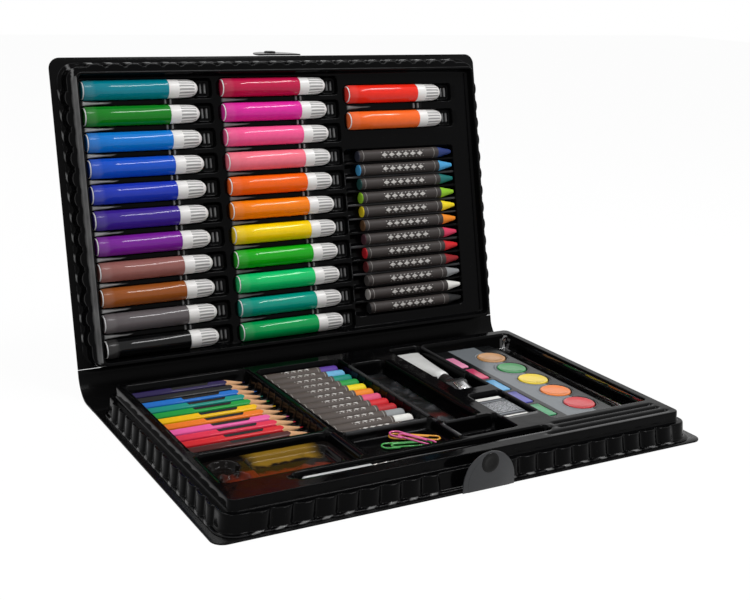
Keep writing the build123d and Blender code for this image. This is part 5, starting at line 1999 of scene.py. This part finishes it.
@dataclass
class SmallTools:
    """The eraser, the sharpener and the glue tube in the narrow wells."""

    middle: float = 243.4
    floor: float = 6.15
    rubber: tuple[float, float, float] = (11.0, 55.4, 96.4)
    sleeve: tuple[float, float, float] = (11.5, 61.4, 90.4)
    wedge: tuple[float, float, float] = (113.5, 133.5, 138.5)
    wedge_heights: tuple[float, float] = (6.6, 11.0)
    wedge_half: float = 9.0
    grip: tuple[float, float, float] = (2.2, 126.0, 5.5)
    tube: tuple[float, float, float] = (150.5, 55.0, 6.0)
    crimp: tuple[float, float] = (2.6, 0.9)
    cap_end: float = 142.0

    def build(self, shop: Workshop) -> None:
        """Build the three tools."""
        self.eraser(shop)
        self.sharpener(shop)
        self.glue(shop)

    def eraser(self, shop: Workshop) -> None:
        """Build the white eraser in its printed sleeve."""
        m, z = self.middle, self.floor
        rubber = Plastic("eraser_rubber", tint("#e6e5e1"), roughness=0.6, grain=0.6).build()
        half, y0, y1 = self.rubber
        block = Shape().block(m - half, m + half, y0, y1, z + 0.4, z + 10.6, 1.2, 0.9)
        shop.piece("eraser_block", block.mesh("rubber"), BASE, rubber, "eraser",
                   "eraser_white", "eraser")
        half, y0, y1 = self.sleeve
        outline = rounded_rect(m - half, m + half, z, z + 11, 1.2)
        thin = drawn_in(outline, 0.15)
        sleeve = Shape().bar([(y0, thin), (y0 + 0.2, outline), (y1 - 0.2, outline), (y1, thin)])
        paper = SpeckledPaper("eraser_sleeve", (y0 + y1) / 2).build()
        shop.piece("eraser_sleeve", sleeve.mesh("sleeve"), BASE, paper, "eraser",
                   "eraser_paper", "eraser_band")

    def sharpener(self, shop: Workshop) -> None:
        """Build the wedge sharpener with its blade and screw."""
        m, z0 = self.middle, self.floor
        y0, crest, y1 = self.wedge
        low, tall = self.wedge_heights
        dent, waist, reach = self.grip
        sections = []
        for y in spread([120.6, 121.2, 122.5, 124, 126, 128, 129.5, 130.8, 131.4, crest],
                        y0, y1, 4.0):
            top = z0 + low + (tall - low) * min(1.0, (y - y0) / (crest - y0))
            pinch = math.sqrt(max(1 - ((y - waist) / reach) ** 2, 0))
            half = self.wedge_half - dent * pinch
            sections.append((y, rounded_rect(m - half, m + half, z0, top, 0.7, 3)))
        body = Plastic("sharpener_plastic", tint("#151617"), grain=0.3, specular=0.4).build()
        shop.piece("sharpener_wedge", Shape().bar(sections).mesh("wedge", 35), BASE, body,
                   "sharpener", "sharpener_plastic", "sharpener_body")
        tilt = math.degrees(math.atan2(tall - low, crest - y0))
        top = BASE.hinged((y0 + crest) / 2, z0 + (low + tall) / 2, tilt)
        steel = Metal("blade_steel", (0.75, 0.75, 0.76), roughness=0.16).build()
        x = m - SHEET_WIDTH / 2
        mesh = Shape().block(x - 4.5, x + 4.5, -8, 8, 0, 0.8, 0.3, 0.15).mesh("blade")
        shop.piece("sharpener_blade_steel", mesh, top, steel, "sharpener", "blade_steel",
                   "sharpener_blade")
        profile = [(0.75, 2.5), (1.2, 2.5), (1.5, 2.2), (1.6, 1.6), (1.6, 0.7), (1.25, 0.6)]
        mesh = Shape().spool(x, 0, profile, 24).mesh("screw")
        shop.piece("sharpener_screw_head", mesh, top, steel, "sharpener", "blade_steel",
                   "sharpener_screw")

    def glue(self, shop: Workshop) -> None:
        """Build the glue tube, from its round shoulder to its flat crimp, and its cap."""
        start, length, radius = self.tube
        rise, thin = self.crimp
        m, z = self.middle, self.floor + radius
        angle = np.arange(40) * 2 * math.pi / 40
        loops = []
        for share in (0.0, 0.01, 0.04, 0.1, 0.25, 0.45, 0.65, 0.85, 0.9, 0.93, 1.0):
            swell = min(1.0, 0.5 + share * 14)
            wide = radius * (1 + share) * swell
            tall = max(thin, (radius - (radius - thin) * share) * swell)
            blunt = 0.6 + 0.4 * (1 - share)
            loops.append(np.column_stack([
                m - wide * np.sign(np.cos(angle)) * np.abs(np.cos(angle)) ** blunt,
                np.full(40, start + length * share), z + rise * share + tall * np.sin(angle),
            ]))
        shape = Shape()
        shape.rings(loops)
        milk = Plastic("glue_milk", tint("#dadbd9"), roughness=0.3, coat=0.2).build()
        shop.piece("glue_tube_body", shape.mesh("tube", 60), BASE, milk, "glue", "glue_white",
                   "glue_tube")
        cap = Shape().rod([
            (0.0, 3.6), (0.1, 4.4), (0.5, 4.85), (1.2, 4.95), (7.4, 5.2), (8.1, 5.2), (8.4, 4.9),
        ], 60, lambda angle, x: 1 - 0.04 * (np.cos(angle * 15) < 0) * (1.0 < x < 7.6))
        black = Plastic("glue_cap_black", tint("#121213"), roughness=0.3, grain=0.3,
                        specular=0.4).build()
        cap.moved((m, self.cap_end, z), along_y=True)
        shop.piece("glue_cap_ribbed", cap.mesh("cap"), BASE, black, "glue", "glue_cap",
                   "glue_cap")


@dataclass
class Clips:
    """Three coated wire clips lying crossed in their shallow well."""

    length: float = 33.0
    width: float = 8.0
    wire: float = 0.62
    turn: float = 6.5
    gap: float = 1.5
    lift: float = 0.7
    layer: float = 1.55
    start: tuple[float, float, float] = (117.6, 36.5, 13.15)
    places: tuple[tuple[str, float, float, float, str], ...] = (
        ("green", 19.0, 20.0, -16.0, "#2f9a3c"), ("yellow", 30.0, 30.0, -33.0, "#eda428"),
        ("pink", 32.0, 31.5, -62.0, "#e0559a"),
    )

    def path(self) -> list[tuple[float, float]]:
        """Return the corners of one clip's wire before its bends are rounded."""
        long, wide, gap = self.length, self.width, self.gap
        return [
            (long * 0.34, 0.0), (0.0, 0.0), (0.0, wide), (long, wide), (long, gap),
            (self.turn, gap), (self.turn, wide - gap), (long * 0.78, wide - gap),
        ]

    def build(self, shop: Workshop) -> None:
        """Build the three clips."""
        for level, (name, x, y, turn, code) in enumerate(self.places):
            c, s = math.cos(math.radians(turn)), math.sin(math.radians(turn))
            lift = self.start[2] + self.lift + level * self.layer
            points = []
            for px, py in self.path():
                py -= self.width / 2
                points.append((self.start[0] + x + px * c - py * s,
                               self.start[1] + y + px * s + py * c, lift))
            mesh = bpy.data.meshes.new("clip_path")
            mesh.from_pydata(points, [(k, k + 1) for k in range(len(points) - 1)], [])
            paint = Plastic(f"clip_{name}_coat", tint(code), roughness=0.2, coat=0.5).build()
            wire = shop.wires.bake(mesh, Radius=self.wire, Bend=self.width / 2, Steps=8,
                                   Finish=paint)
            wire.shade_smooth()
            shop.piece(f"wire_clip_{name}", wire, BASE, None, "base", f"clip_{name}",
                       f"clip_{name}")


@dataclass
class Studio:
    """The plain floor, the lamps and the camera."""

    camera_mm: tuple[float, float, float] = (-404.5, -664.9, 310.1)
    yaw: float = 0.524
    pitch: float = 0.275
    roll: float = 0.035
    lens: float = 57.6
    lamps: tuple[tuple[tuple[float, float, float], float, float, float], ...] = (
        ((0.45, -0.3, 1.15), 9.0, 0.8, 0.13), ((-0.75, -0.55, 1.35), 3.5, 0.4, 0.4),
        ((0.1, 0.9, 1.2), 2.0, 0.6, 0.3),
    )
    sky: float = 0.45
    sensor: float = 36.0
    target: tuple[float, float, float] = (0.0, 0.05, 0.08)
    reach: float = 4.0
    glow: float = 1.02
    glow_share: float = 0.93

    def build(self, _shop: Workshop) -> None:
        """Build the floor, the world, the lamps and the camera."""
        scene = bpy.context.scene
        scene.view_settings.view_transform = "Standard"
        self.floor()
        self.world(scene)
        for place, power, wide, high in self.lamps:
            self.lamp(place, power, wide, high)
        self.camera(scene)

    def floor(self) -> None:
        """Build the pale floor, which keeps a soft shadow."""
        mesh = bpy.data.meshes.new("floor")
        far = self.reach
        corners = [(-far, -far, 0), (far, -far, 0), (far, far, 0), (-far, far, 0)]
        mesh.from_pydata(corners, [], [(0, 1, 2, 3)])
        made = bpy.data.objects.new("floor", mesh)
        bpy.context.scene.collection.objects.link(made)
        net = Net("floor_white")
        cloud = net.noise(3.0, 2.0)
        pale = net.mix(cloud, grey(0.8), grey(0.84))
        matt = net.node(Node.DIFFUSE, None, {"Color": pale})
        glow = net.node(Node.EMISSION, None, {"Strength": self.glow})
        share = self.seen(net) * self.glow_share
        both = net.node(Node.MIX_SHADER, None, {0: share, 1: matt.outputs[0], 2: glow.outputs[0]})
        net.node(Node.OUTPUT, None, {"Surface": both.outputs[0]})
        mesh.materials.append(net.material)

    @staticmethod
    def seen(net: NodeTree) -> Term:
        """Return 1 for what is seen, mirrored or seen through, and 0 for what lights."""
        path = net.node(Node.PATH).outputs
        total = Term(net, path["Is Camera Ray"]) + Term(net, path["Is Glossy Ray"])
        return (total + Term(net, path["Is Transmission Ray"])).least(1.0)

    def world(self, scene: bpy.types.Scene) -> None:
        """Give the scene a white surrounding that lights the object softly."""
        world = bpy.data.worlds.new("studio")
        world.use_nodes = True
        scene.world = world
        net = NodeTree(world.node_tree)
        strength = self.seen(net) * (1.0 - self.sky) + self.sky
        values = {"Color": (1.0, 1.0, 1.0), "Strength": strength}
        light = net.node(Node.BACKGROUND, None, values)
        net.node(Node.WORLD, None, {"Surface": light.outputs[0]})

    def lamp(self, place: tuple[float, float, float], power: float, wide: float,
             high: float) -> None:
        """Hang one flat lamp that faces the case."""
        data = bpy.data.lights.new("lamp", "AREA")
        data.shape = "RECTANGLE"
        data.energy, data.size, data.size_y = power, wide, high
        made = bpy.data.objects.new("lamp", data)
        bpy.context.scene.collection.objects.link(made)
        made.matrix_world = self.facing(np.array(place), np.array(self.target))

    @staticmethod
    def facing(place: Points, target: Points) -> Matrix:
        """Return the place of a lamp that looks at a target."""
        back = (place - target) / np.linalg.norm(place - target)
        right = np.cross([0.0, 0.0, 1.0], back)
        right /= np.linalg.norm(right)
        up = np.cross(back, right)
        rows = [[right[k], up[k], back[k], place[k]] for k in range(3)]
        return Matrix(rows + [[0.0, 0.0, 0.0, 1.0]])

    def camera(self, scene: bpy.types.Scene) -> None:
        """Set the camera at the photograph's place."""
        cy, sy = math.cos(self.yaw), math.sin(self.yaw)
        cp, sp = math.cos(self.pitch), math.sin(self.pitch)
        cr, sr = math.cos(self.roll), math.sin(self.roll)
        ahead = np.array([sy * cp, cy * cp, -sp])
        level = np.array([cy, -sy, 0.0])
        high = np.cross(level, ahead)
        right, up = level * cr + high * sr, high * cr - level * sr
        data = bpy.data.cameras.new("camera")
        data.lens, data.sensor_width = self.lens, self.sensor
        made = bpy.data.objects.new("camera", data)
        scene.collection.objects.link(made)
        rows = [[right[k], up[k], -ahead[k], self.camera_mm[k] * MM] for k in range(3)]
        made.matrix_world = Matrix(rows + [[0.0, 0.0, 0.0, 1.0]])
        scene.camera = made


def main() -> None:
    """Build every sub-assembly in order."""
    logging.basicConfig(level=logging.INFO, format="%(name)s %(message)s")
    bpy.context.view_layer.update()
    shop = Workshop()
    for part in (Cover(), BaseTray(), LidTray(), Clasp(), Pencils(), Pastels(), Markers(),
                 Crayons(), Paints(), MixingPlate(), Brush(), SmallTools(), Clips(), Studio()):
        part.build(shop)
    log.info("%d pieces made", shop.made)


if __name__ == "__main__":
    main()
